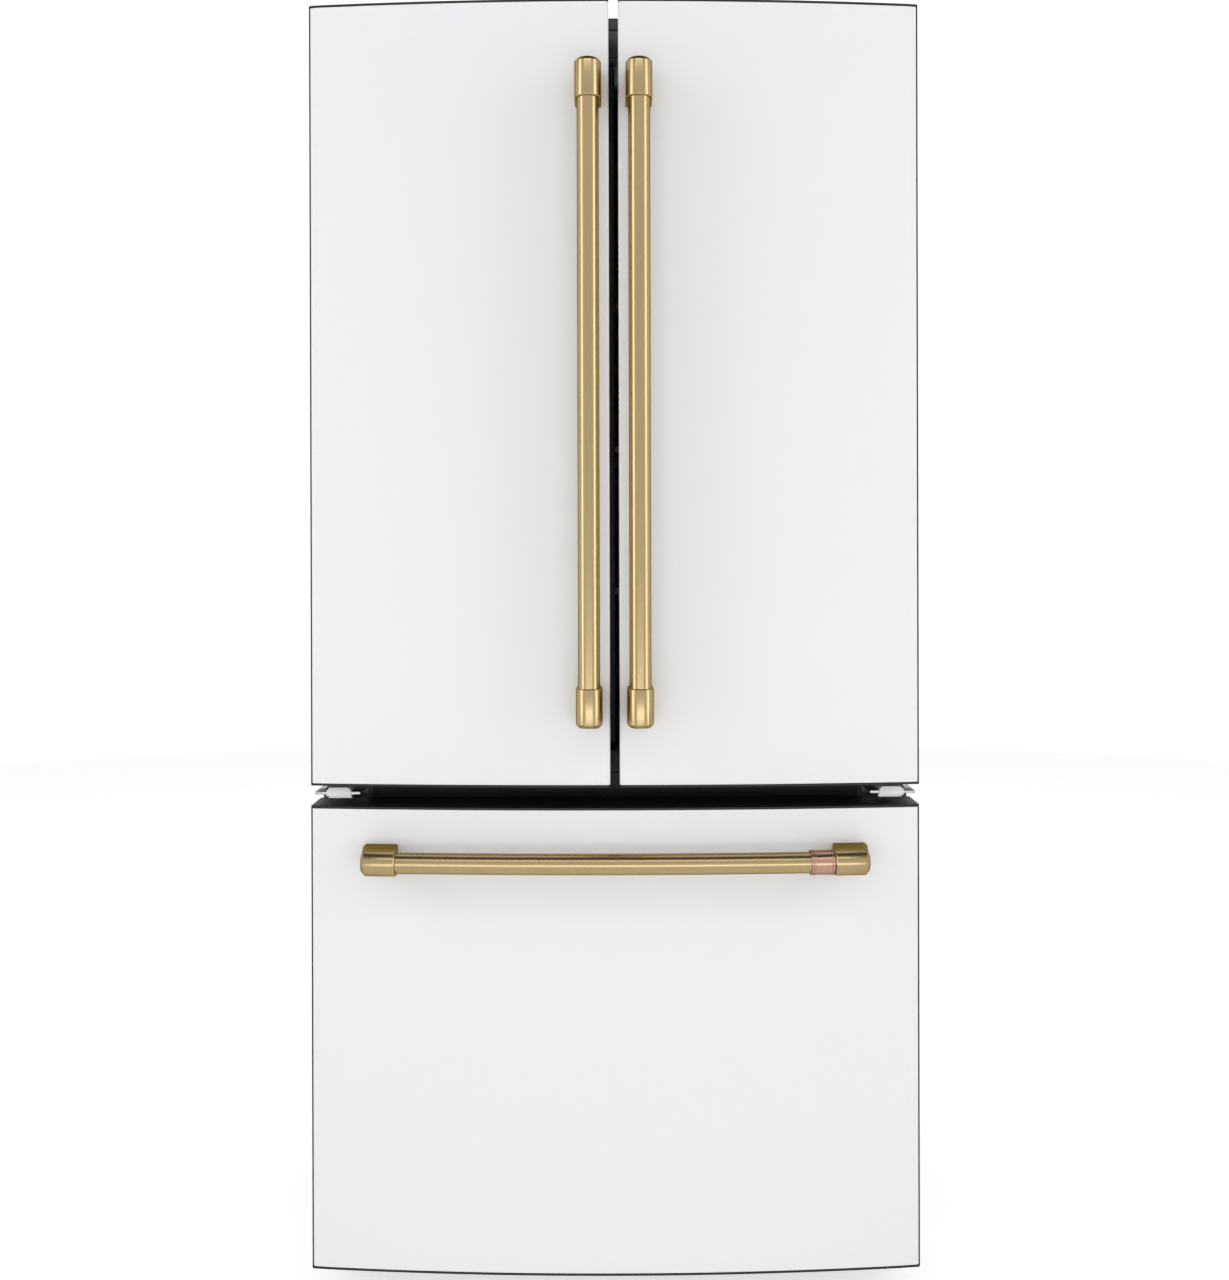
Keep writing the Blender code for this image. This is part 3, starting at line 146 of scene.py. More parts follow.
def grain_group():
    """Group that every finish here shares: blotches of two colours, uneven gloss and a fine relief."""
    group = bpy.data.node_groups.get("fine grain")
    if group:
        return group
    group = bpy.data.node_groups.new("fine grain", "ShaderNodeTree")
    sockets = (
        ("Color", "NodeSocketColor"),
        ("Tint", "NodeSocketColor"),
        ("Amount", "NodeSocketFloat"),
        ("Scale", "NodeSocketFloat"),
        ("Stretch", "NodeSocketVector"),
        ("Roughness", "NodeSocketFloat"),
        ("Gloss Spread", "NodeSocketFloat"),
    )
    for name, kind in sockets:
        group.interface.new_socket(name, in_out="INPUT", socket_type=kind)
    results = (("Color", "NodeSocketColor"), ("Roughness", "NodeSocketFloat"), ("Height", "NodeSocketFloat"))
    for name, kind in results:
        group.interface.new_socket(name, in_out="OUTPUT", socket_type=kind)
    nodes, link = group.nodes, group.links.new
    given, made = nodes.new("NodeGroupInput"), nodes.new("NodeGroupOutput")
    place = nodes.new("ShaderNodeTexCoord")
    stretch = nodes.new("ShaderNodeMapping")
    fine, broad = nodes.new("ShaderNodeTexNoise"), nodes.new("ShaderNodeTexNoise")
    broad.inputs["Scale"].default_value = 6.0
    broad.inputs["Detail"].default_value = 2.0
    fine.inputs["Detail"].default_value = 3.0
    both = nodes.new("ShaderNodeMath")
    both.operation = "MULTIPLY_ADD"
    both.inputs[1].default_value = 0.35
    share = nodes.new("ShaderNodeMath")
    share.operation = "MULTIPLY"
    tint = nodes.new("ShaderNodeMix")
    tint.data_type = "RGBA"
    centred = nodes.new("ShaderNodeMath")
    centred.operation = "SUBTRACT"
    centred.inputs[1].default_value = 0.67
    gloss = nodes.new("ShaderNodeMath")
    gloss.operation = "MULTIPLY_ADD"
    gloss.use_clamp = True
    link(place.outputs["Object"], stretch.inputs["Vector"])
    link(given.outputs["Stretch"], stretch.inputs["Scale"])
    link(stretch.outputs["Vector"], fine.inputs["Vector"])
    link(place.outputs["Object"], broad.inputs["Vector"])
    link(given.outputs["Scale"], fine.inputs["Scale"])
    link(broad.outputs[0], both.inputs[0])
    link(fine.outputs[0], both.inputs[2])
    link(both.outputs[0], share.inputs[0])
    link(given.outputs["Amount"], share.inputs[1])
    link(share.outputs[0], tint.inputs["Factor"])
    link(given.outputs["Color"], tint.inputs["A"])
    link(given.outputs["Tint"], tint.inputs["B"])
    link(both.outputs[0], centred.inputs[0])
    link(centred.outputs[0], gloss.inputs[0])
    link(given.outputs["Gloss Spread"], gloss.inputs[1])
    link(given.outputs["Roughness"], gloss.inputs[2])
    link(tint.outputs["Result"], made.inputs["Color"])
    link(gloss.outputs[0], made.inputs["Roughness"])
    link(fine.outputs[0], made.inputs["Height"])
    return group


def finish_of(name, color, tint, amount, scale, rough, spread, bump, stretch=(1, 1, 1), **constants):
    """Make one finish: grain feeds colour, gloss and relief, and the rest is set on the shader."""
    material = bpy.data.materials.new(name)
    material.use_nodes = True
    nodes, link = material.node_tree.nodes, material.node_tree.links.new
    shader = nodes["Principled BSDF"]
    grain = nodes.new("ShaderNodeGroup")
    grain.node_tree = grain_group()
    grain.inputs["Color"].default_value = (*color, 1.0)
    grain.inputs["Tint"].default_value = (*tint, 1.0)
    grain.inputs["Amount"].default_value = amount
    grain.inputs["Scale"].default_value = scale
    grain.inputs["Stretch"].default_value = stretch
    grain.inputs["Roughness"].default_value = rough
    grain.inputs["Gloss Spread"].default_value = spread
    link(grain.outputs["Color"], shader.inputs["Base Color"])
    link(grain.outputs["Roughness"], shader.inputs["Roughness"])
    if bump:
        relief = nodes.new("ShaderNodeBump")
        relief.inputs["Strength"].default_value = bump
        relief.inputs["Distance"].default_value = 0.0004
        link(grain.outputs["Height"], relief.inputs["Height"])
        link(relief.outputs["Normal"], shader.inputs["Normal"])
    for socket, value in constants.items():
        shader.inputs[socket.replace("_", " ")].default_value = value
    return material


def rounded(node, width, material, body, slot, segments=2):
    """Replace a CAD node by a copy of itself with rounded edges."""
    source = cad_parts[node]
    bm = bmesh.new()
    bm.from_mesh(source.data)
    bmesh.ops.remove_doubles(bm, verts=bm.verts, dist=0.00001)
    bmesh.ops.dissolve_limit(bm, angle_limit=math.radians(0.2), verts=bm.verts, edges=bm.edges)
    mesh = bpy.data.meshes.new(node + "_finished")
    bm.to_mesh(mesh)
    bm.free()
    mesh.materials.clear()
    mesh.materials.append(material)
    piece = bpy.data.objects.new(node + "_finished", mesh)
    bpy.context.scene.collection.objects.link(piece)
    bevel = piece.modifiers.new("round", "BEVEL")
    bevel.width = width
    bevel.segments = segments
    bevel.limit_method = "ANGLE"
    bevel.angle_limit = math.radians(35)
    bevel.use_clamp_overlap = True
    return settle(baked(piece), body, slot, node)


def baked(piece, smooth=35):
    """Turn a piece and its modifiers into a plain mesh with smooth curves and sharp edges."""
    bpy.context.view_layer.update()
    mesh = bpy.data.meshes.new_from_object(piece.evaluated_get(bpy.context.evaluated_depsgraph_get()))
    piece.modifiers.clear()
    old = piece.data
    piece.data = mesh
    bpy.data.meshes.remove(old)
    mesh.shade_smooth()
    mesh.set_sharp_from_angle(angle=math.radians(smooth))
    return piece


def settle(piece, body, slot, *nodes):
    """Make a finished piece ride on its body, and stand for CAD nodes where it replaces them."""
    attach(piece, body)
    if nodes:
        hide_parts(*nodes)
    return piece


slate = finish_of(
    "slate paint", (0.045, 0.053, 0.056), (0.062, 0.07, 0.073), 0.6, 1500, 0.46, 0.12, 0.25, Coat_Weight=0.08
)
rounded("outer_case", 0.0009, slate, "cabinet", "slate_steel")
rounded("rear_panel", 0.0006, slate, "cabinet", "slate_steel")


def new_piece(name, bm, material, smooth=35):
    """Make an object of a finished bmesh."""
    mesh = bpy.data.meshes.new(name)
    bm.to_mesh(mesh)
    bm.free()
    mesh.materials.append(material)
    mesh.shade_smooth()
    mesh.set_sharp_from_angle(angle=math.radians(smooth))
    piece = bpy.data.objects.new(name, mesh)
    bpy.context.scene.collection.objects.link(piece)
    return piece


def lathe(profile, start, along, sides):
    """Turn radius, distance points about an axis; both ends of the profile lie on the axis or close up."""
    bm = bmesh.new()
    along = Vector(along).normalized()
    across = along.orthogonal().normalized()
    third = along.cross(across)
    rings = []
    for radius, far in profile:
        centre = Vector(start) + along * far
        if radius < 1e-7:
            rings.append([bm.verts.new(centre)])
            continue
        ring = []
        for i in range(sides):
            a = math.tau * i / sides
            ring.append(bm.verts.new(centre + radius * (math.cos(a) * across + math.sin(a) * third)))
        rings.append(ring)
    for one, two in zip(rings, rings[1:]):
        for i in range(sides):
            j = (i + 1) % sides
            loop = [one[i % len(one)], one[j % len(one)], two[j % len(two)], two[i % len(two)]]
            loop = list(dict.fromkeys(loop))
            if len(loop) > 2:
                bm.faces.new(loop)
    bmesh.ops.recalc_face_normals(bm, faces=bm.faces)
    return bm


def row_tree():
    """Geometry Nodes tree that sets copies of one small shape in a straight row."""
    tree = bpy.data.node_groups.get("row of shapes")
    if tree:
        return tree
    tree = bpy.data.node_groups.new("row of shapes", "GeometryNodeTree")
    for name, kind in (
        ("Shape", "NodeSocketObject"),
        ("Count", "NodeSocketInt"),
        ("Start", "NodeSocketVector"),
        ("Step", "NodeSocketVector"),
        ("Finish", "NodeSocketMaterial"),
    ):
        tree.interface.new_socket(name, in_out="INPUT", socket_type=kind)
    tree.interface.new_socket("Geometry", in_out="OUTPUT", socket_type="NodeSocketGeometry")
    nodes, link = tree.nodes, tree.links.new
    given, made = nodes.new("NodeGroupInput"), nodes.new("NodeGroupOutput")
    shape = nodes.new("GeometryNodeObjectInfo")
    line = nodes.new("GeometryNodeMeshLine")
    copies = nodes.new("GeometryNodeInstanceOnPoints")
    real = nodes.new("GeometryNodeRealizeInstances")
    paint = nodes.new("GeometryNodeSetMaterial")
    link(given.outputs["Shape"], shape.inputs["Object"])
    link(given.outputs["Count"], line.inputs["Count"])
    link(given.outputs["Start"], line.inputs["Start Location"])
    link(given.outputs["Step"], line.inputs["Offset"])
    link(line.outputs["Mesh"], copies.inputs["Points"])
    link(shape.outputs["Geometry"], copies.inputs["Instance"])
    link(copies.outputs["Instances"], real.inputs["Geometry"])
    link(real.outputs["Geometry"], paint.inputs["Geometry"])
    link(given.outputs["Finish"], paint.inputs["Material"])
    link(paint.outputs["Geometry"], made.inputs["Geometry"])
    return tree


def row_of(name, shape, count, start, step, material, body, slot):
    """Set copies of a small shape, made at the origin, in a row that rides on a body."""
    holder = bpy.data.objects.new(name, bpy.data.meshes.new(name))
    bpy.context.scene.collection.objects.link(holder)
    row = holder.modifiers.new("row", "NODES")
    row.node_group = row_tree()
    values = {"Shape": shape, "Count": count, "Start": start, "Step": step, "Finish": material}
    for item in row.node_group.interface.items_tree:
        if item.in_out == "INPUT":
            row[item.identifier] = values[item.name]
    return settle(baked(holder), body, slot)


def shape_of(name, bm, material):
    """Make a small shape that rows copy; it is deleted once its rows are made."""
    shape = new_piece(name, bm, material)
    small_shapes.append(shape)
    return shape


small_shapes = []
zinc = finish_of(
    "zinc plate", (0.62, 0.62, 0.61), (0.48, 0.49, 0.5), 0.5, 700, 0.34, 0.2, 0.1, Metallic=1.0
)


def screw_shape(name, radius, height, along, material):
    """Pan head screw with a six-sided socket."""
    socket = radius * 0.42
    profile = [
        (radius, 0.0),
        (radius, height * 0.45),
        (radius * 0.86, height * 0.85),
        (radius * 0.55, height),
        (socket, height),
        (socket * 0.95, height * 0.45),
        (0.0, height * 0.4),
    ]
    return shape_of(name, lathe([(0.0, 0.0)] + profile, (0, 0, 0), along, 18), material)


rear_screw = screw_shape("rear_screw", 0.0042, 0.0018, (0, 1, 0), zinc)
rear_low, rear_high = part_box("rear_panel")
REAR_INSET = 0.012
for tag, x in (("left", rear_low.x + REAR_INSET), ("right", rear_high.x - REAR_INSET)):
    start = (x, rear_high.y, rear_low.z + 0.03)
    step = (0.0, 0.0, (rear_high.z - rear_low.z - 0.06) / 8)
    row_of("rear_screws_" + tag, rear_screw, 9, start, step, zinc, "cabinet", "zinc_steel")
start = (rear_low.x + 0.1, rear_high.y, rear_high.z - REAR_INSET)
step = ((rear_high.x - rear_low.x - 0.2) / 4, 0.0, 0.0)
row_of("rear_screws_top", rear_screw, 5, start, step, zinc, "cabinet", "zinc_steel")

# ------------------------------------------------------------------ insulation and inner liners
# Blown foam fills the walls and can only be seen through the machine room. The two inner boxes are drawn
# from white polystyrene sheet, with a satin surface.
foam = finish_of("blown foam", (0.72, 0.62, 0.4), (0.6, 0.5, 0.3), 0.8, 220, 0.9, 0.1, 0.5)
white_plastic = finish_of(
    "white polystyrene", (0.84, 0.85, 0.86), (0.8, 0.81, 0.83), 0.5, 900, 0.3, 0.1, 0.05, Coat_Weight=0.05
)


def repaint(node, material):
    """Give a CAD node its finish."""
    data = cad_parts[node].data
    data.materials.clear()
    data.materials.append(material)


repaint("cabinet_foam", foam)
repaint("fresh_food_liner", white_plastic)
repaint("freezer_liner", white_plastic)

# ------------------------------------------------------------------ base, feet, rollers and toe grille
# A zinc-plated steel base carries the case. Two black feet screw into it in front, and two rollers turn
# behind. A dark slotted grille closes the space below the drawer.
rubber = finish_of("black rubber", (0.012, 0.012, 0.013), (0.03, 0.03, 0.03), 0.5, 900, 0.62, 0.15, 0.2)
dark_plastic = finish_of(
    "dark grey plastic", (0.03, 0.032, 0.034), (0.045, 0.047, 0.05), 0.6, 2200, 0.42, 0.12, 0.3
)
black_paint = finish_of("black paint", (0.016, 0.016, 0.017), (0.03, 0.03, 0.03), 0.4, 500, 0.36, 0.15, 0.1)
repaint("base_frame", zinc)
for word in ("left", "right"):
    rounded("levelling_leg_" + word, 0.0006, rubber, "leg_" + word, "black_rubber")
    rounded("rear_roller_" + word, 0.0008, rubber, "roller_" + word, "black_rubber")
rounded("toe_grille", 0.0008, dark_plastic, "cabinet", "dark_plastic")

# ------------------------------------------------------------------ machine room
# The welded compressor can and a plastic fan stand behind a louvred black cover at the bottom of the
# back. Pressed copper tubes run from the can; the cover is held by screws.
rounded("machine_cover", 0.0005, black_paint, "cabinet", "black_steel")
rounded("compressor", 0.0015, black_paint, "cabinet", "black_steel")
rounded("condenser_fan", 0.0004, dark_plastic, "condenser_fan", "dark_plastic")
cover_low, cover_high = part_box("machine_cover")
for tag, z in (("low", cover_low.z + 0.012), ("high", cover_high.z - 0.012)):
    start = (cover_low.x + 0.02, cover_high.y, z)
    step = ((cover_high.x - cover_low.x - 0.04) / 5, 0.0, 0.0)
    row_of("cover_screws_" + tag, rear_screw, 6, start, step, zinc, "cabinet", "zinc_steel")

# ------------------------------------------------------------------ crowned fronts
# Each door and the drawer has a pressed steel skin, painted matte white, wrapped over a dark grey
# foamed frame whose moulded caps show as a thin dark line above, below and beside the skin.
frame_low, frame_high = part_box("drawer_frame")
HALF_WIDTH = frame_high.x
CROWN_Y = frame_low.y
FRONT_EDGE = 0.024
CROWN_RADIUS = (HALF_WIDTH**2 + FRONT_EDGE**2) / (2 * FRONT_EDGE)
SKIN_THICK = 0.0025
SKIN_RETURN = 0.0118
SKIN_CORNER = 0.005
ROLLED_EDGE = 0.0009
SKIN_TRIM = 0.001
white_paint = finish_of(
    "matte white paint",
    (0.905, 0.905, 0.905),
    (0.875, 0.878, 0.882),
    0.55,
    260,
    0.5,
    0.12,
    0.16,
    Coat_Weight=0.04,
)


def crown(x):
    """Y of the crowned fronts at a distance from the middle."""
    return CROWN_Y + CROWN_RADIUS - math.sqrt(CROWN_RADIUS**2 - x**2)


def front_line(x_from, x_to, inset, corner, steps=48):
    """Points of a crowned front from one return to the other, with round corners."""
    points = []
    for i in range(9):
        a = math.radians(180 + 90 * i / 8)
        middle = (x_from + corner, crown(x_from) + inset + corner)
        points.append((middle[0] + corner * math.cos(a), middle[1] + corner * math.sin(a)))
    for i in range(1, steps):
        x = x_from + corner + (x_to - x_from - 2 * corner) * i / steps
        points.append((x, crown(x) + inset))
    for i in range(9):
        a = math.radians(270 + 90 * i / 8)
        middle = (x_to - corner, crown(x_to) + inset + corner)
        points.append((middle[0] + corner * math.cos(a), middle[1] + corner * math.sin(a)))
    return points


def skin(name, x_from, x_to, low, high, body, node):
    """Pressed skin: a U in plan, with rolled top and bottom edges."""
    outer = [(x_from, crown(x_from) + SKIN_RETURN)]
    outer += front_line(x_from, x_to, 0.0, SKIN_CORNER) + [(x_to, crown(x_to) + SKIN_RETURN)]
    inner_ends = (x_from + SKIN_THICK, x_to - SKIN_THICK)
    inner = [(inner_ends[0], outer[0][1])]
    inner += front_line(*inner_ends, SKIN_THICK, SKIN_CORNER - SKIN_THICK) + [(inner_ends[1], outer[-1][1])]
    rise = []
    for degrees in range(0, 91, 18):
        a = math.radians(degrees)
        rise.append((low + ROLLED_EDGE * (1 - math.cos(a)), ROLLED_EDGE * (1 - math.sin(a))))
    fall = [(low + high - z, inset) for z, inset in reversed(rise)]
    bm = bmesh.new()
    rings = []
    for z, inset in rise + fall:
        ring = []
        for (x, y), (ix, iy) in zip(outer, inner):
            push = Vector((ix - x, iy - y, 0.0))
            push = push.normalized() * inset if push.length > 0 else push
            ring.append(bm.verts.new((x + push.x, y + push.y, z)))
        rings.append(ring)
    back = [[bm.verts.new((x, y, z)) for x, y in inner] for z in (low, high)]
    sheets = rings + [back[1], back[0], rings[0]]
    for one, two in zip(sheets, sheets[1:]):
        for i in range(len(one) - 1):
            bm.faces.new((one[i], one[i + 1], two[i + 1], two[i]))
    for i in (0, -1):
        bm.faces.new([ring[i] for ring in rings] + [back[1][i], back[0][i]])
    bmesh.ops.recalc_face_normals(bm, faces=bm.faces)
    return settle(new_piece(name, bm, white_paint, 40), body, "white_steel", node)


for word in ("left", "right"):
    low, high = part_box(word + "_door_panel")
    span = (low.z + SKIN_TRIM, high.z - SKIN_TRIM)
    skin(word + "_door_skin", low.x, high.x, *span, word + "_door", word + "_door_panel")
low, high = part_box("drawer_panel")
span = (low.z + SKIN_TRIM, high.z - SKIN_TRIM)
skin("drawer_skin", low.x, high.x, *span, "freezer_drawer", "drawer_panel")
cap_black = finish_of("cap black", (0.007, 0.008, 0.009), (0.012, 0.013, 0.015), 0.6, 2200, 0.5, 0.12, 0.2)
LIP_DEPTH = 0.0042


def cap_lip(name, x_from, x_to, low, high, body):
    """Front edge of a frame's moulded cap, flush with the crowned skin above or below it."""
    outer = front_line(x_from, x_to, 0.0001, SKIN_CORNER)
    inner = front_line(x_from + LIP_DEPTH, x_to - LIP_DEPTH, LIP_DEPTH, 0.001)
    bm = bmesh.new()
    sheets = [[bm.verts.new((x, y, z)) for x, y in line] for line, z in ((outer, low), (outer, high))]
    sheets += [[bm.verts.new((x, y, z)) for x, y in line] for line, z in ((inner, high), (inner, low))]
    for one, two in zip(sheets, sheets[1:] + sheets[:1]):
        for i in range(len(one) - 1):
            bm.faces.new((one[i], one[i + 1], two[i + 1], two[i]))
    for i in (0, -1):
        bm.faces.new([sheet[i] for sheet in sheets])
    bmesh.ops.recalc_face_normals(bm, faces=bm.faces)
    settle(new_piece(name, bm, cap_black, 40), body, "dark_plastic")


for front in ("left_door", "right_door", "drawer"):
    body = "freezer_drawer" if front == "drawer" else front
    repaint(front + "_frame", cap_black)
    low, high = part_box(front + "_panel")
    frame_low, frame_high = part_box(front + "_frame")
    cap_lip(front + "_lip_bottom", low.x, high.x, frame_low.z, low.z + SKIN_TRIM, body)
    cap_lip(front + "_lip_top", low.x, high.x, high.z - SKIN_TRIM, frame_high.z, body)

# ------------------------------------------------------------------ handles
# Round bars of brushed brass, 29 mm thick on the doors and 28 mm on the drawer, whose bar is bowed like
# the front. Each end sits in a thicker cap with a post back to the skin; the drawer's posts lean outwards.


def brushed_brass(name, stretch):
    """Brass with its fine brush marks drawn out along the bar, and a dark edge tint that darkens its grazing
    reflections as painted shade at the sides of bars and caps.
    """
    return finish_of(
        name,
        (0.56, 0.425, 0.225),
        (0.5, 0.375, 0.19),
        0.35,
        420,
        0.25,
        0.07,
        0.04,
        stretch=stretch,
        Metallic=1.0,
        # Dark edge tint: darkens grazing reflections at the sides of bars and caps, painted shade.
        Specular_Tint=(0.3, 0.24, 0.13, 1.0),
    )


brass = brushed_brass("brushed brass", (3.0, 3.0, 0.03))
brass_cross = brushed_brass("brushed brass across", (0.03, 3.0, 3.0))
CAP_FAR_CHAMFER = 0.0045
CAP_NEAR_CHAMFER = 0.0012
POST_GAP = 0.0004
BORE_DEPTH = 0.006
BORE_PLAY = 0.0002
POST_LEAN = 0.004
POST_FLARE = 0.0025


def tube_along(name, points, radius, material):
    """Round bar along a list of points, with closed ends."""
    sides = 64
    bm = bmesh.new()
    rings = []
    for i, point in enumerate(points):
        ahead = points[min(i + 1, len(points) - 1)] - points[max(i - 1, 0)]
        along = ahead.normalized()
        across = Vector((0, 1, 0)) if abs(along.y) < 0.9 else Vector((1, 0, 0))
        across = (across - along * across.dot(along)).normalized()
        third = along.cross(across)
        angles = [math.tau * k / sides for k in range(sides)]
        ring = [bm.verts.new(point + radius * (math.cos(a) * across + math.sin(a) * third)) for a in angles]
        rings.append(ring)
    for one, two in zip(rings, rings[1:]):
        for i in range(sides):
            j = (i + 1) % sides
            bm.faces.new((one[i], one[j], two[j], two[i]))
    for ring in (rings[0], rings[-1]):
        bm.faces.new(ring)
    bmesh.ops.recalc_face_normals(bm, faces=bm.faces)
    return new_piece(name, bm, material)


def handle_mount(name, far, near, radius, bore, material, body, node):
    """Cap and post in one: round in front, flat-sided back to the skin, chamfered, bored for the bar."""
    far, near = Vector(far), Vector(near)
    along = (near - far).normalized()
    length = (near - far).length
    side = Vector((1, 0, 0)) if abs(along.z) > 0.5 else Vector((0, 0, 1))
    ahead = side.cross(along)
    ahead = ahead if ahead.y < 0 else -ahead
    stations = ((0.0, CAP_FAR_CHAMFER), (CAP_FAR_CHAMFER, 0.0), (length - CAP_NEAR_CHAMFER, 0.0))
    stations += ((length, CAP_NEAR_CHAMFER),)
    arc, depth_steps = 28, 3
    bm = bmesh.new()
    rings = []
    outward = -along if abs(along.x) > 0.5 else Vector((0, 0, 0))
    for reach, inset in stations:
        centre = far + along * reach
        lean = outward * (POST_LEAN + POST_FLARE * (1 - reach / length))
        r = radius - inset
        ring = []
        for i in range(arc + 1):
            a = math.pi * i / arc
            ring.append(centre + r * (math.cos(a) * side + math.sin(a) * ahead))
        last = centre - side * r
        back = Vector((last.x + lean.x, crown(last.x + lean.x) - POST_GAP, last.z))
        for i in range(1, depth_steps + 1):
            ring.append(last.lerp(back, i / depth_steps))
        first = centre + side * r
        back = Vector((first.x + lean.x, crown(first.x + lean.x) - POST_GAP, first.z))
        for i in range(depth_steps, 0, -1):
            ring.append(first.lerp(back, i / depth_steps))
        rings.append([bm.verts.new(point) for point in ring])
    for one, two in zip(rings, rings[1:]):
        for i in range(len(one)):
            j = (i + 1) % len(one)
            bm.faces.new((one[i], one[j], two[j], two[i]))
    bm.faces.new(rings[0])
    bm.faces.new(rings[-1])
    bmesh.ops.recalc_face_normals(bm, faces=bm.faces)
    mount = new_piece(name, bm, material)
    plug = [(0, 0), (bore, 0), (bore, 0.02), (0, 0.02)]
    drill = new_piece("drill", lathe(plug, near - along * BORE_DEPTH, along, 64), material)
    cutter = mount.modifiers.new("bore", "BOOLEAN")
    cutter.object = drill
    bevel = mount.modifiers.new("soft", "BEVEL")
    bevel.width = 0.00045
    bevel.segments = 2
    bevel.limit_method = "ANGLE"
    bevel.angle_limit = math.radians(28)
    baked(mount, 28)
    bpy.data.objects.remove(drill)
    return settle(mount, body, "brushed_brass", node)


for word in ("left", "right"):
    body = word + "_door"
    low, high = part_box(word + "_handle_bar")
    radius = (high.x - low.x) / 2
    axis = Vector(((low.x + high.x) / 2, (low.y + high.y) / 2, 0.0))
    line = [axis + Vector((0, 0, low.z + (high.z - low.z) * i / 12)) for i in range(13)]
    settle(tube_along(word + "_bar", line, radius, brass), body, "brushed_brass", word + "_handle_bar")
    for end in ("top", "bottom"):
        node = word + "_handle_" + end + "_mount"
        mount_low, mount_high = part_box(node)
        far_z, near_z = (mount_high.z, mount_low.z) if end == "top" else (mount_low.z, mount_high.z)
        grow = 0.0013 if end == "top" else -0.0013
        ends = (axis + Vector((0, 0, far_z)), axis + Vector((0, 0, near_z - grow)))
        cap = (mount_high.x - mount_low.x) / 2
        handle_mount(word + "_mount_" + end, *ends, cap, radius + BORE_PLAY, brass, body, node)

bar_low, bar_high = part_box("drawer_handle_bar")
DRAWER_HANDLE_Z = (bar_low.z + bar_high.z) / 2
DRAWER_BAR_RADIUS = (bar_high.z - bar_low.z) / 2
BAR_AHEAD = crown(0) - bar_low.y - DRAWER_BAR_RADIUS


def bow(x):
    """Point of the drawer handle's axis at a distance from the middle."""
    return Vector((x, crown(x) - BAR_AHEAD, DRAWER_HANDLE_Z))


tip = bar_high.x - 0.0005
line = [bow(-tip + 2 * tip * i / 60) for i in range(61)]
bar = tube_along("drawer_bar", line, DRAWER_BAR_RADIUS, brass_cross)
settle(bar, "freezer_drawer", "brushed_brass", "drawer_handle_bar")
mount_low, mount_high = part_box("drawer_handle_right_mount")
cap_radius = (mount_high.z - mount_low.z) / 2
CAP_SPAN = 0.046
near_x = tip - 0.0052
for word, side in (("left", -1), ("right", 1)):
    inner = bow(side * near_x)
    along = (bow(side * (near_x - 0.004)) - bow(side * (near_x + 0.004))).normalized()
    node = "drawer_handle_" + word + "_mount"
    handle_mount(
        "drawer_mount_" + word,
        inner - along * CAP_SPAN,
        inner,
        cap_radius,
        DRAWER_BAR_RADIUS + BORE_PLAY,
        brass_cross,
        "freezer_drawer",
        node,
    )

# ------------------------------------------------------------------ copper ring
# A turned copper sleeve slipped on the drawer's bar beside its right mount, with two fine beads at each
# end and a plain satin band between them.
copper = finish_of(
    "satin copper",
    (0.64, 0.4, 0.3),
    (0.56, 0.32, 0.23),
    0.4,
    500,
    0.24,
    0.1,
    0.05,
    stretch=(3.0, 0.1, 0.1),
    Metallic=1.0,
    Specular_Tint=(0.22, 0.1, 0.06, 1.0),
)
ring_low, ring_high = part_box("drawer_handle_ring")
ring_radius = (ring_high.z - ring_low.z) / 2
ring_span = ring_high.x - ring_low.x
bead = ring_span / 22
profile = [(DRAWER_BAR_RADIUS + BORE_PLAY, 0.0), (ring_radius - 0.0006, 0.0)]
for start in (0.0, 2.2 * bead, ring_span - 4.4 * bead, ring_span - 2.2 * bead):
    for share, drop in ((0.15, 0.0003), (0.5, 0.0), (1.0, 0.0), (1.6, 0.0), (1.95, 0.0003), (2.1, 0.0008)):
        profile.append((ring_radius - drop, start + share * bead))
profile.sort(key=lambda point: point[1])
profile += [(ring_radius - 0.0006, ring_span), (DRAWER_BAR_RADIUS + BORE_PLAY, ring_span)]
start, end = bow(ring_low.x), bow(ring_high.x)
sleeve = new_piece("copper_ring", lathe(profile + profile[:1], start, end - start, 64), copper, 50)
settle(sleeve, "freezer_drawer", "copper", "drawer_handle_ring")

# ------------------------------------------------------------------ hinges and their covers
# Steel leaf brackets on the case carry the doors on pins. Dark moulded covers hide the upper ones, joined
# by a trim strip along the case's top. In the middle, a zinc-plated bracket and a white moulded block on
# each side close the gap under the door.
for word, side in (("left", -1), ("right", 1)):
    rounded("hinge_cover_" + word, 0.0035, dark_plastic, "cabinet", "dark_plastic", segments=3)
    rounded("top_hinge_" + word, 0.0005, zinc, "cabinet", "zinc_steel")
    rounded("center_hinge_" + word, 0.0005, zinc, "cabinet", "zinc_steel")


def soft_box(name, low, high, width, material, body, slot, segments=3):
    """Box with rounded edges."""
    bm = bmesh.new()
    bmesh.ops.create_cube(bm, size=1.0)
    for vert in bm.verts:
        vert.co = Vector([low[i] if vert.co[i] < 0 else high[i] for i in range(3)])
    bmesh.ops.bevel(bm, geom=bm.edges[:], offset=width, segments=segments, affect="EDGES", profile=0.5)
    bmesh.ops.recalc_face_normals(bm, faces=bm.faces)
    return settle(new_piece(name, bm, material), body, slot)


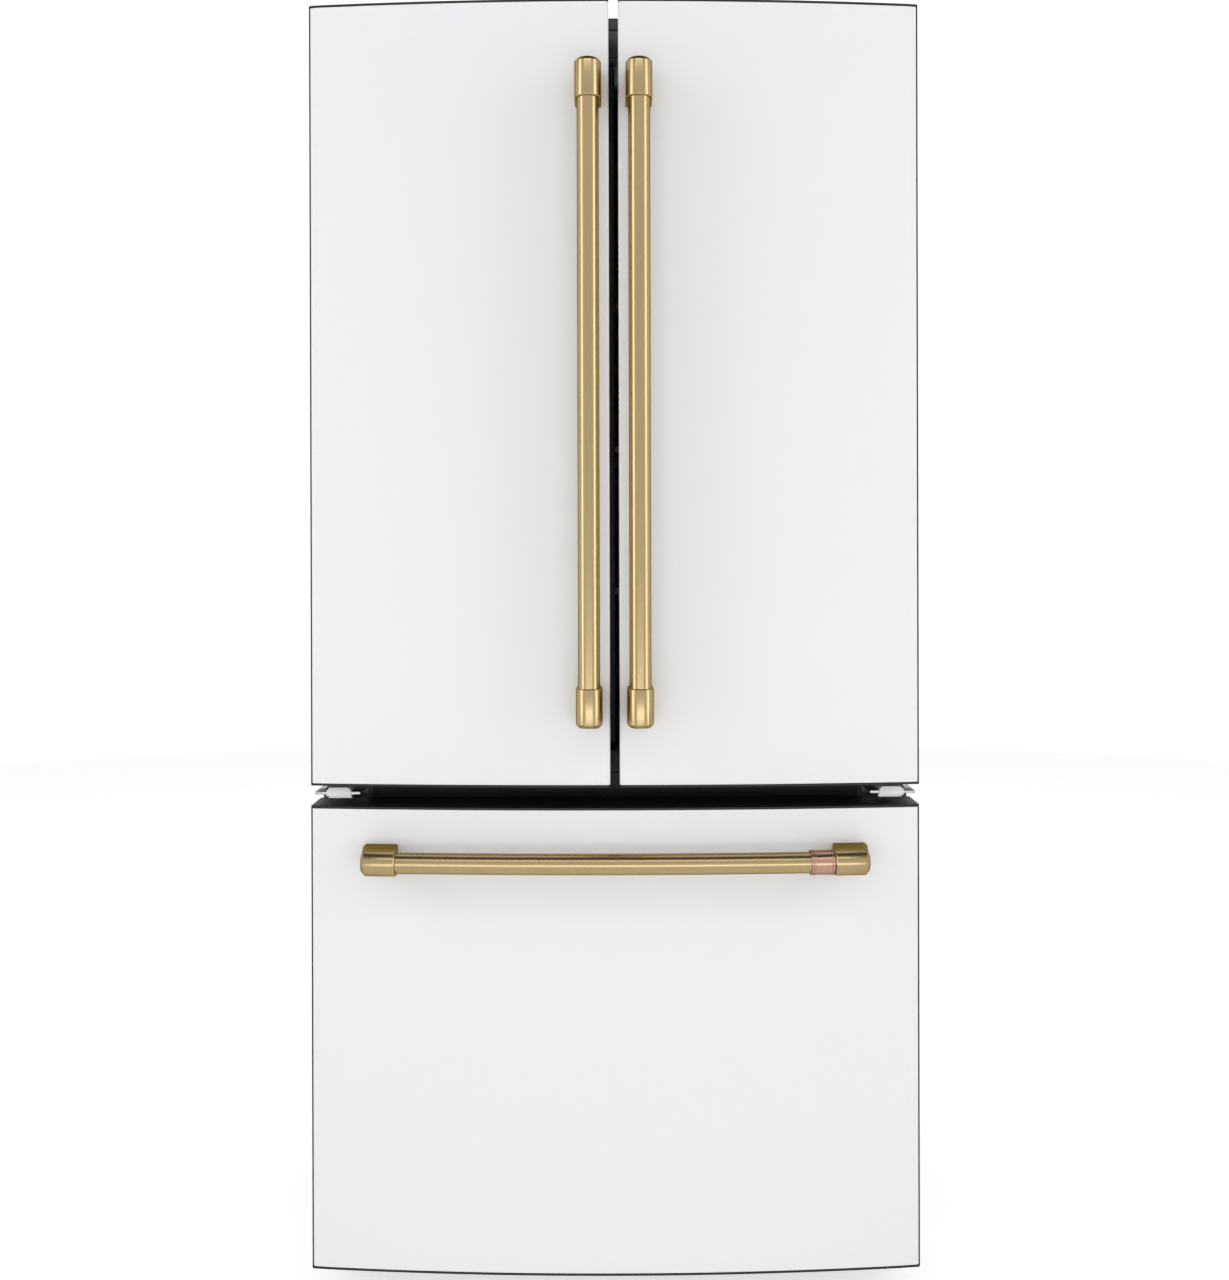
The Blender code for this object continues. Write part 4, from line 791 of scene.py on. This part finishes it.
def upright_plate(name, outline, front, back, soften, material, body, slot):
    """Plate standing upright across the view, cut to an outline of x, z points, with rounded edges."""
    bm = bmesh.new()
    sheets = [[bm.verts.new((x, y, z)) for x, z in outline] for y in (front, back)]
    for i in range(len(outline)):
        j = (i + 1) % len(outline)
        bm.faces.new((sheets[0][i], sheets[0][j], sheets[1][j], sheets[1][i]))
    for sheet in sheets:
        bm.faces.new(sheet)
    bmesh.ops.recalc_face_normals(bm, faces=bm.faces)
    plate = new_piece(name, bm, material)
    bevel = plate.modifiers.new("soften", "BEVEL")
    bevel.width = soften
    bevel.segments = 2
    bevel.limit_method = "ANGLE"
    bevel.angle_limit = math.radians(30)
    return settle(baked(plate), body, slot)


BLOCK_NEAR, BLOCK_FAR = 0.362, 0.3955
BLOCK_LOW, BLOCK_HIGH = 0.6822, 0.6942
BLOCK_FRONT, BLOCK_BACK = -0.3035, -0.262
BLOCK_CUT = 0.0042
block_outline = (
    (BLOCK_NEAR, BLOCK_LOW),
    (BLOCK_FAR, BLOCK_LOW),
    (BLOCK_FAR, BLOCK_HIGH - BLOCK_CUT),
    (BLOCK_FAR - BLOCK_CUT, BLOCK_HIGH),
    (BLOCK_NEAR + BLOCK_CUT, BLOCK_HIGH),
    (BLOCK_NEAR, BLOCK_HIGH - BLOCK_CUT),
)
strip_low, strip_high = (-0.344, -0.2254, 0.661), (0.344, -0.2236, 0.7045)
trim_low, trim_high = (-0.338, -0.2225, 1.7574), (0.338, -0.2085, 1.776)
soft_box("top_trim", trim_low, trim_high, 0.003, dark_plastic, "cabinet", "dark_plastic")
# Divider cover across the case front between the rooms: a real part, coloured black as painted shade for the
# deep gap between the doors and the drawer.
soft_box("divider_strip", strip_low, strip_high, 0.0006, cap_black, "cabinet", "dark_plastic", 2)
for word, side in (("left", -1), ("right", 1)):
    outline = [(side * x, z) for x, z in block_outline]
    span = (BLOCK_FRONT, BLOCK_BACK)
    upright_plate("hinge_block_" + word, outline, *span, 0.0005, white_plastic, "cabinet", "white_plastic")

# ------------------------------------------------------------------ door and drawer seals
# Extruded grey soft seals with a magnet inside: a flat base in the door, a bellows of two folds and a
# flat face that meets the case.
seal_grey = finish_of(
    "grey seal", (0.034, 0.035, 0.037), (0.05, 0.05, 0.053), 0.5, 900, 0.55, 0.12, 0.12
)


def rectangle_ring(x_from, x_to, z_from, z_to, corner, y):
    """Points of an upright rectangle with round corners."""
    steps = 6
    points = []
    centres = ((x_to - corner, z_to - corner), (x_from + corner, z_to - corner))
    centres += ((x_from + corner, z_from + corner), (x_to - corner, z_from + corner))
    for i, (x, z) in enumerate(centres):
        for j in range(steps + 1):
            a = math.radians(90 * i + 90 * j / steps)
            points.append((x + corner * math.cos(a), y, z + corner * math.sin(a)))
    return points


def seal(node, body):
    """Seal with its folds, round the opening of its CAD node."""
    low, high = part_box(node)
    width, deep = 0.016, high.y - low.y
    section = ((0.0022, 0.0), (0.0022, 0.28), (0.0006, 0.36), (0.0006, 0.5), (0.0024, 0.58), (0.0024, 0.66))
    section += ((0.0003, 0.74), (0.0003, 0.93), (0.0012, 1.0))
    mirrored = tuple((width - inset, share) for inset, share in reversed(section))
    bm = bmesh.new()
    rings = []
    for inset, share in section + mirrored:
        corner = max(0.0006, 0.018 - inset)
        ring = rectangle_ring(
            low.x + inset, high.x - inset, low.z + inset, high.z - inset, corner, low.y + deep * share
        )
        rings.append([bm.verts.new(point) for point in ring])
    for one, two in zip(rings, rings[1:] + rings[:1]):
        for i in range(len(one)):
            j = (i + 1) % len(one)
            bm.faces.new((one[i], one[j], two[j], two[i]))
    bmesh.ops.recalc_face_normals(bm, faces=bm.faces)
    settle(new_piece(node + "_folds", bm, seal_grey, 50), body, "grey_rubber", node)


seal("left_door_gasket", "left_door")
seal("right_door_gasket", "right_door")
seal("drawer_gasket", "freezer_drawer")

# ------------------------------------------------------------------ door liners, bins and dairy lid
# White moulded liners with a ridge that holds the clear bins; each bin has a rolled rim. The upper bin on
# the right is the dairy bin, closed by a clear lid.
clear_plastic = finish_of(
    "clear plastic",
    (0.86, 0.91, 0.93),
    (0.8, 0.87, 0.9),
    0.4,
    60,
    0.1,
    0.05,
    0.02,
    Transmission_Weight=0.88,
    IOR=1.45,
)
shelf_glass = finish_of(
    "shelf glass", (0.86, 0.95, 0.92), (0.8, 0.92, 0.88), 0.3, 40, 0.04, 0.03, 0.01, Transmission_Weight=0.95
)
for word in ("left", "right"):
    rounded(word + "_door_liner", 0.0045, white_plastic, word + "_door", "white_plastic", segments=3)
    for level in ("lower", "upper"):
        node = word + "_" + level + "_bin"
        rounded(node, 0.0009, clear_plastic, word + "_door", "clear_plastic")
        low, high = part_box(node)
        rim_low = (low.x + 0.0002, high.y - 0.0036, high.z - 0.0095)
        rim_high = (high.x - 0.0002, high.y + 0.0006, high.z + 0.0004)
        rim = "front_rim_" + word + "_" + level
        soft_box(rim, rim_low, rim_high, 0.0013, white_plastic, word + "_door", "white_plastic")
rounded("dairy_lid", 0.0012, clear_plastic, "dairy_lid", "clear_plastic")

# ------------------------------------------------------------------ mullion flap
# The flap on the left door closes the gap between the doors from inside. A dark grey face plate with a round
# top is clipped on the front of its black body; the plate's lighter grey, over the left part of the flap
# only, is painted light falling on the flap's face.
flap_black = finish_of("flap black", (0.006, 0.006, 0.007), (0.012, 0.012, 0.012), 0.5, 1500, 0.5, 0.1, 0.1)
# Lighter grey face plate: painted light on the lit left part of the flap's face.
lit_flap_grey = finish_of("lit flap grey", (0.028, 0.03, 0.033), (0.036, 0.038, 0.042), 0.5, 1500, 0.42, 0.1, 0.1)
rounded("mullion_flap", 0.0006, flap_black, "mullion_flap", "dark_plastic")
flap_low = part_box("mullion_flap")[0]
plate_left, plate_right, plate_top = -0.013, 0.0008, 1.591
plate_middle, plate_half = (plate_left + plate_right) / 2, (plate_right - plate_left) / 2
outline = [(plate_left, flap_low.z + 0.01), (plate_right, flap_low.z + 0.01)]
for i in range(13):
    a = math.pi * i / 12
    outline.append((plate_middle + plate_half * math.cos(a), plate_top + plate_half * math.sin(a)))
span = (flap_low.y - 0.0006, flap_low.y + 0.0015)
upright_plate("flap_face", outline, *span, 0.0003, lit_flap_grey, "mullion_flap", "dark_plastic")

# ------------------------------------------------------------------ fresh food room
# Three tempered glass shelves with white edge trims rest on ledges of the liner. Rear wall: a white air duct
# whose slots are dark bars of painted shade. Above: the control panel with its dark display, and a lamp lens.
display_black = finish_of(
    "display black", (0.004, 0.004, 0.005), (0.008, 0.008, 0.01), 0.3, 30, 0.06, 0.03, 0.0
)
lamp_white = finish_of(
    "lamp lens", (0.9, 0.93, 0.95), (0.85, 0.9, 0.93), 0.4, 300, 0.3, 0.1, 0.02, Transmission_Weight=0.3
)
PANE = 0.004
TRIM = 0.016
for node in ("shelf_upper", "shelf_lower", "crisper_shelf"):
    low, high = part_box(node)
    pane_low = (low.x + 0.004, low.y + 0.003, high.z - PANE - 0.0015)
    pane_high = (high.x - 0.004, high.y - 0.003, high.z - 0.0015)
    pane = soft_box(node + "_pane", pane_low, pane_high, 0.0007, shelf_glass, "cabinet", "shelf_glass", 2)
    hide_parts(node)
    for tag, y0, y1 in (("front", low.y, low.y + TRIM), ("rear", high.y - TRIM * 0.7, high.y)):
        trim = ((low.x, y0, low.z), (high.x, y1, high.z))
        soft_box(node + "_trim_" + tag, *trim, 0.003, white_plastic, "cabinet", "white_plastic")
    for tag, x0, x1 in (("left", low.x, low.x + 0.011), ("right", high.x - 0.011, high.x)):
        rail_low = (x0, low.y + TRIM, low.z)
        rail_high = (x1, high.y - TRIM * 0.7, high.z - 0.001)
        soft_box(node + "_side_" + tag, rail_low, rail_high, 0.002, white_plastic, "cabinet", "white_plastic")
        out = 1 if tag == "right" else -1
        xs = sorted((out * 0.3555, out * 0.3642))
        ledge = ((xs[0], low.y + 0.006, low.z - 0.0085), (xs[1], high.y - 0.004, low.z - 0.0004))
        soft_box(node + "_ledge_" + tag, *ledge, 0.0025, white_plastic, "cabinet", "white_plastic")
rounded("control_panel", 0.0035, white_plastic, "cabinet", "white_plastic", segments=3)
panel_low, panel_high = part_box("control_panel")
face_low = (-0.13, panel_low.y - 0.0008, panel_low.z + 0.006)
face_high = (-0.03, panel_low.y + 0.002, panel_high.z - 0.007)
soft_box("display", face_low, face_high, 0.0006, display_black, "cabinet", "dark_plastic", 2)
rounded("fridge_button", 0.0008, dark_plastic, "fridge_button", "dark_plastic")
lens_low = (-0.12, panel_high.y + 0.03, panel_high.z - 0.006)
lens_high = (0.12, panel_high.y + 0.085, panel_high.z + 0.0002)
soft_box("lamp_lens", lens_low, lens_high, 0.0028, lamp_white, "cabinet", "white_plastic")
duct_front, duct_back = 0.3345, 0.3435
duct_low = (-0.095, duct_front, 0.985)
duct_high = (0.095, duct_back, 1.70)
soft_box("air_duct", duct_low, duct_high, 0.0035, white_plastic, "cabinet", "white_plastic")
# Dark bars laid on the duct and the evaporator cover stand in for their slot openings: painted shade.
slot_painted_shade = finish_of("slot shade", (0.02, 0.02, 0.022), (0.03, 0.03, 0.03), 0.4, 300, 0.7, 0.1, 0.0)


def slat_shape(name, length, height, deep, material):
    """Small rounded bar that rows copy."""
    bm = bmesh.new()
    bmesh.ops.create_cube(bm, size=1.0)
    for vert in bm.verts:
        vert.co = Vector((vert.co.x * length, vert.co.y * deep, vert.co.z * height))
    soften = min(height, deep) * 0.3
    bmesh.ops.bevel(bm, geom=bm.edges[:], offset=soften, segments=2, affect="EDGES", profile=0.5)
    bmesh.ops.recalc_face_normals(bm, faces=bm.faces)
    return shape_of(name, bm, material)


duct_slot = slat_shape("duct_slot", 0.11, 0.005, 0.0012, slot_painted_shade)
for tag, z in (("high", 1.52), ("low", 1.27)):
    start, step = (0.0, duct_front, z), (0.0, 0.0, 0.011)
    row_of("duct_slots_" + tag, duct_slot, 5, start, step, slot_painted_shade, "cabinet", "dark_plastic")
for word, side in (("left", -1), ("right", 1)):
    rounded("crisper_" + word, 0.0012, clear_plastic, "crisper_" + word, "clear_plastic")
    low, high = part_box("crisper_" + word)
    grip_low = (low.x + 0.01, low.y - 0.0012, high.z - 0.03)
    grip_high = (high.x - 0.01, low.y + 0.003, high.z - 0.004)
    body = "crisper_" + word
    soft_box("crisper_face_" + word, grip_low, grip_high, 0.0018, white_plastic, body, "white_plastic")
    middle = side * 0.18
    track = ((middle - 0.045, -0.1135, 0.9535), (middle + 0.045, -0.111, 0.9615))
    soft_box("humidity_track_" + word, *track, 0.0008, display_black, "cabinet", "dark_plastic", 2)
    knob_low = (middle - 0.012, -0.1155, 0.9525)
    knob_high = (middle + 0.008, -0.1125, 0.9625)
    soft_box("humidity_knob_" + word, knob_low, knob_high, 0.001, dark_plastic, "cabinet", "dark_plastic", 2)

# ------------------------------------------------------------------ freezer room and drawer
# The drawer's basket and its clear upper tray hang between zinc-plated telescopic rails. Behind them, a white
# cover hides the evaporator; its slots are dark bars of painted shade.
for word in ("left", "right"):
    rounded("drawer_rail_" + word, 0.0006, zinc, "cabinet", "zinc_steel")
    rounded("drawer_slide_" + word, 0.0006, zinc, "slide_" + word, "zinc_steel")
rounded("drawer_bin", 0.0025, white_plastic, "freezer_drawer", "white_plastic")
rounded("drawer_tray", 0.0012, clear_plastic, "drawer_tray", "clear_plastic")
cover_low, cover_high = (-0.31, 0.3345, 0.33), (0.31, 0.3435, 0.615)
soft_box("evaporator_cover", cover_low, cover_high, 0.004, white_plastic, "cabinet", "white_plastic")
cold_slot = slat_shape("cold_slot", 0.07, 0.006, 0.0012, slot_painted_shade)
for tag, z in (("high", 0.585), ("middle", 0.567), ("low", 0.372), ("lowest", 0.354)):
    start = (-0.22, cover_low[1], z)
    row_of("cover_slots_" + tag, cold_slot, 5, start, (0.11, 0.0, 0.0), slot_painted_shade, "cabinet", "dark_plastic")

# ------------------------------------------------------------------ refrigerant lines
# Copper lines leave the compressor can for the condenser and the evaporator. Each is bent from one length
# of drawn tube and brazed to the can, with its far end out of sight in the machine room.
copper_line = finish_of(
    "drawn copper", (0.72, 0.4, 0.27), (0.55, 0.28, 0.17), 0.6, 260, 0.32, 0.2, 0.1, Metallic=1.0
)


def bent_tube(name, corners, radius, bend, material, body, slot):
    """Tube through corner points, with round bends."""
    corners = [Vector(corner) for corner in corners]
    path = [corners[0]]
    for before, corner, after in zip(corners, corners[1:], corners[2:]):
        back, ahead = (before - corner).normalized(), (after - corner).normalized()
        first, last = corner + back * bend, corner + ahead * bend
        for i in range(9):
            t = i / 8
            path.append(first * (1 - t) ** 2 + corner * 2 * t * (1 - t) + last * t**2)
    path.append(corners[-1])
    bm = bmesh.new()
    rings, across = [], None
    for i, point in enumerate(path):
        along = (path[min(i + 1, len(path) - 1)] - path[max(i - 1, 0)]).normalized()
        across = across or along.orthogonal()
        across = (across - along * across.dot(along)).normalized()
        third = along.cross(across)
        turn = [math.tau * k / 14 for k in range(14)]
        ring = [point + radius * (math.cos(a) * across + math.sin(a) * third) for a in turn]
        rings.append([bm.verts.new(place) for place in ring])
    for one, two in zip(rings, rings[1:]):
        for i in range(14):
            j = (i + 1) % 14
            bm.faces.new((one[i], one[j], two[j], two[i]))
    bm.faces.new(rings[0])
    bm.faces.new(rings[-1])
    bmesh.ops.recalc_face_normals(bm, faces=bm.faces)
    return settle(new_piece(name, bm, material, 50), body, slot)


can_low, can_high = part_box("compressor")
can_x, can_y = (can_low.x + can_high.x) / 2, (can_low.y + can_high.y) / 2
can_top = can_high.z
line_y = can_y - 0.02
line_path = ((can_x - 0.03, line_y, can_top - 0.02), (can_x - 0.03, line_y, can_top + 0.018))
line_path += ((can_x - 0.15, line_y, can_top + 0.018), (can_x - 0.15, line_y, 0.11))
line_path += ((-0.25, line_y, 0.11), (-0.25, line_y, 0.2))
bent_tube("discharge_line", line_path, 0.0032, 0.012, copper_line, "cabinet", "copper")
line_path = ((can_x + 0.03, can_y, can_top - 0.02), (can_x + 0.03, can_y, can_top + 0.02))
line_path += ((can_x + 0.11, can_y, can_top + 0.02), (can_x + 0.11, can_y, 0.09))
line_path += ((can_x + 0.11, can_y + 0.05, 0.09),)
bent_tube("suction_line", line_path, 0.004, 0.012, copper_line, "cabinet", "copper")

# ------------------------------------------------------------------ end
# The small shapes that rows copied go.
for shape in small_shapes:
    bpy.data.objects.remove(shape)
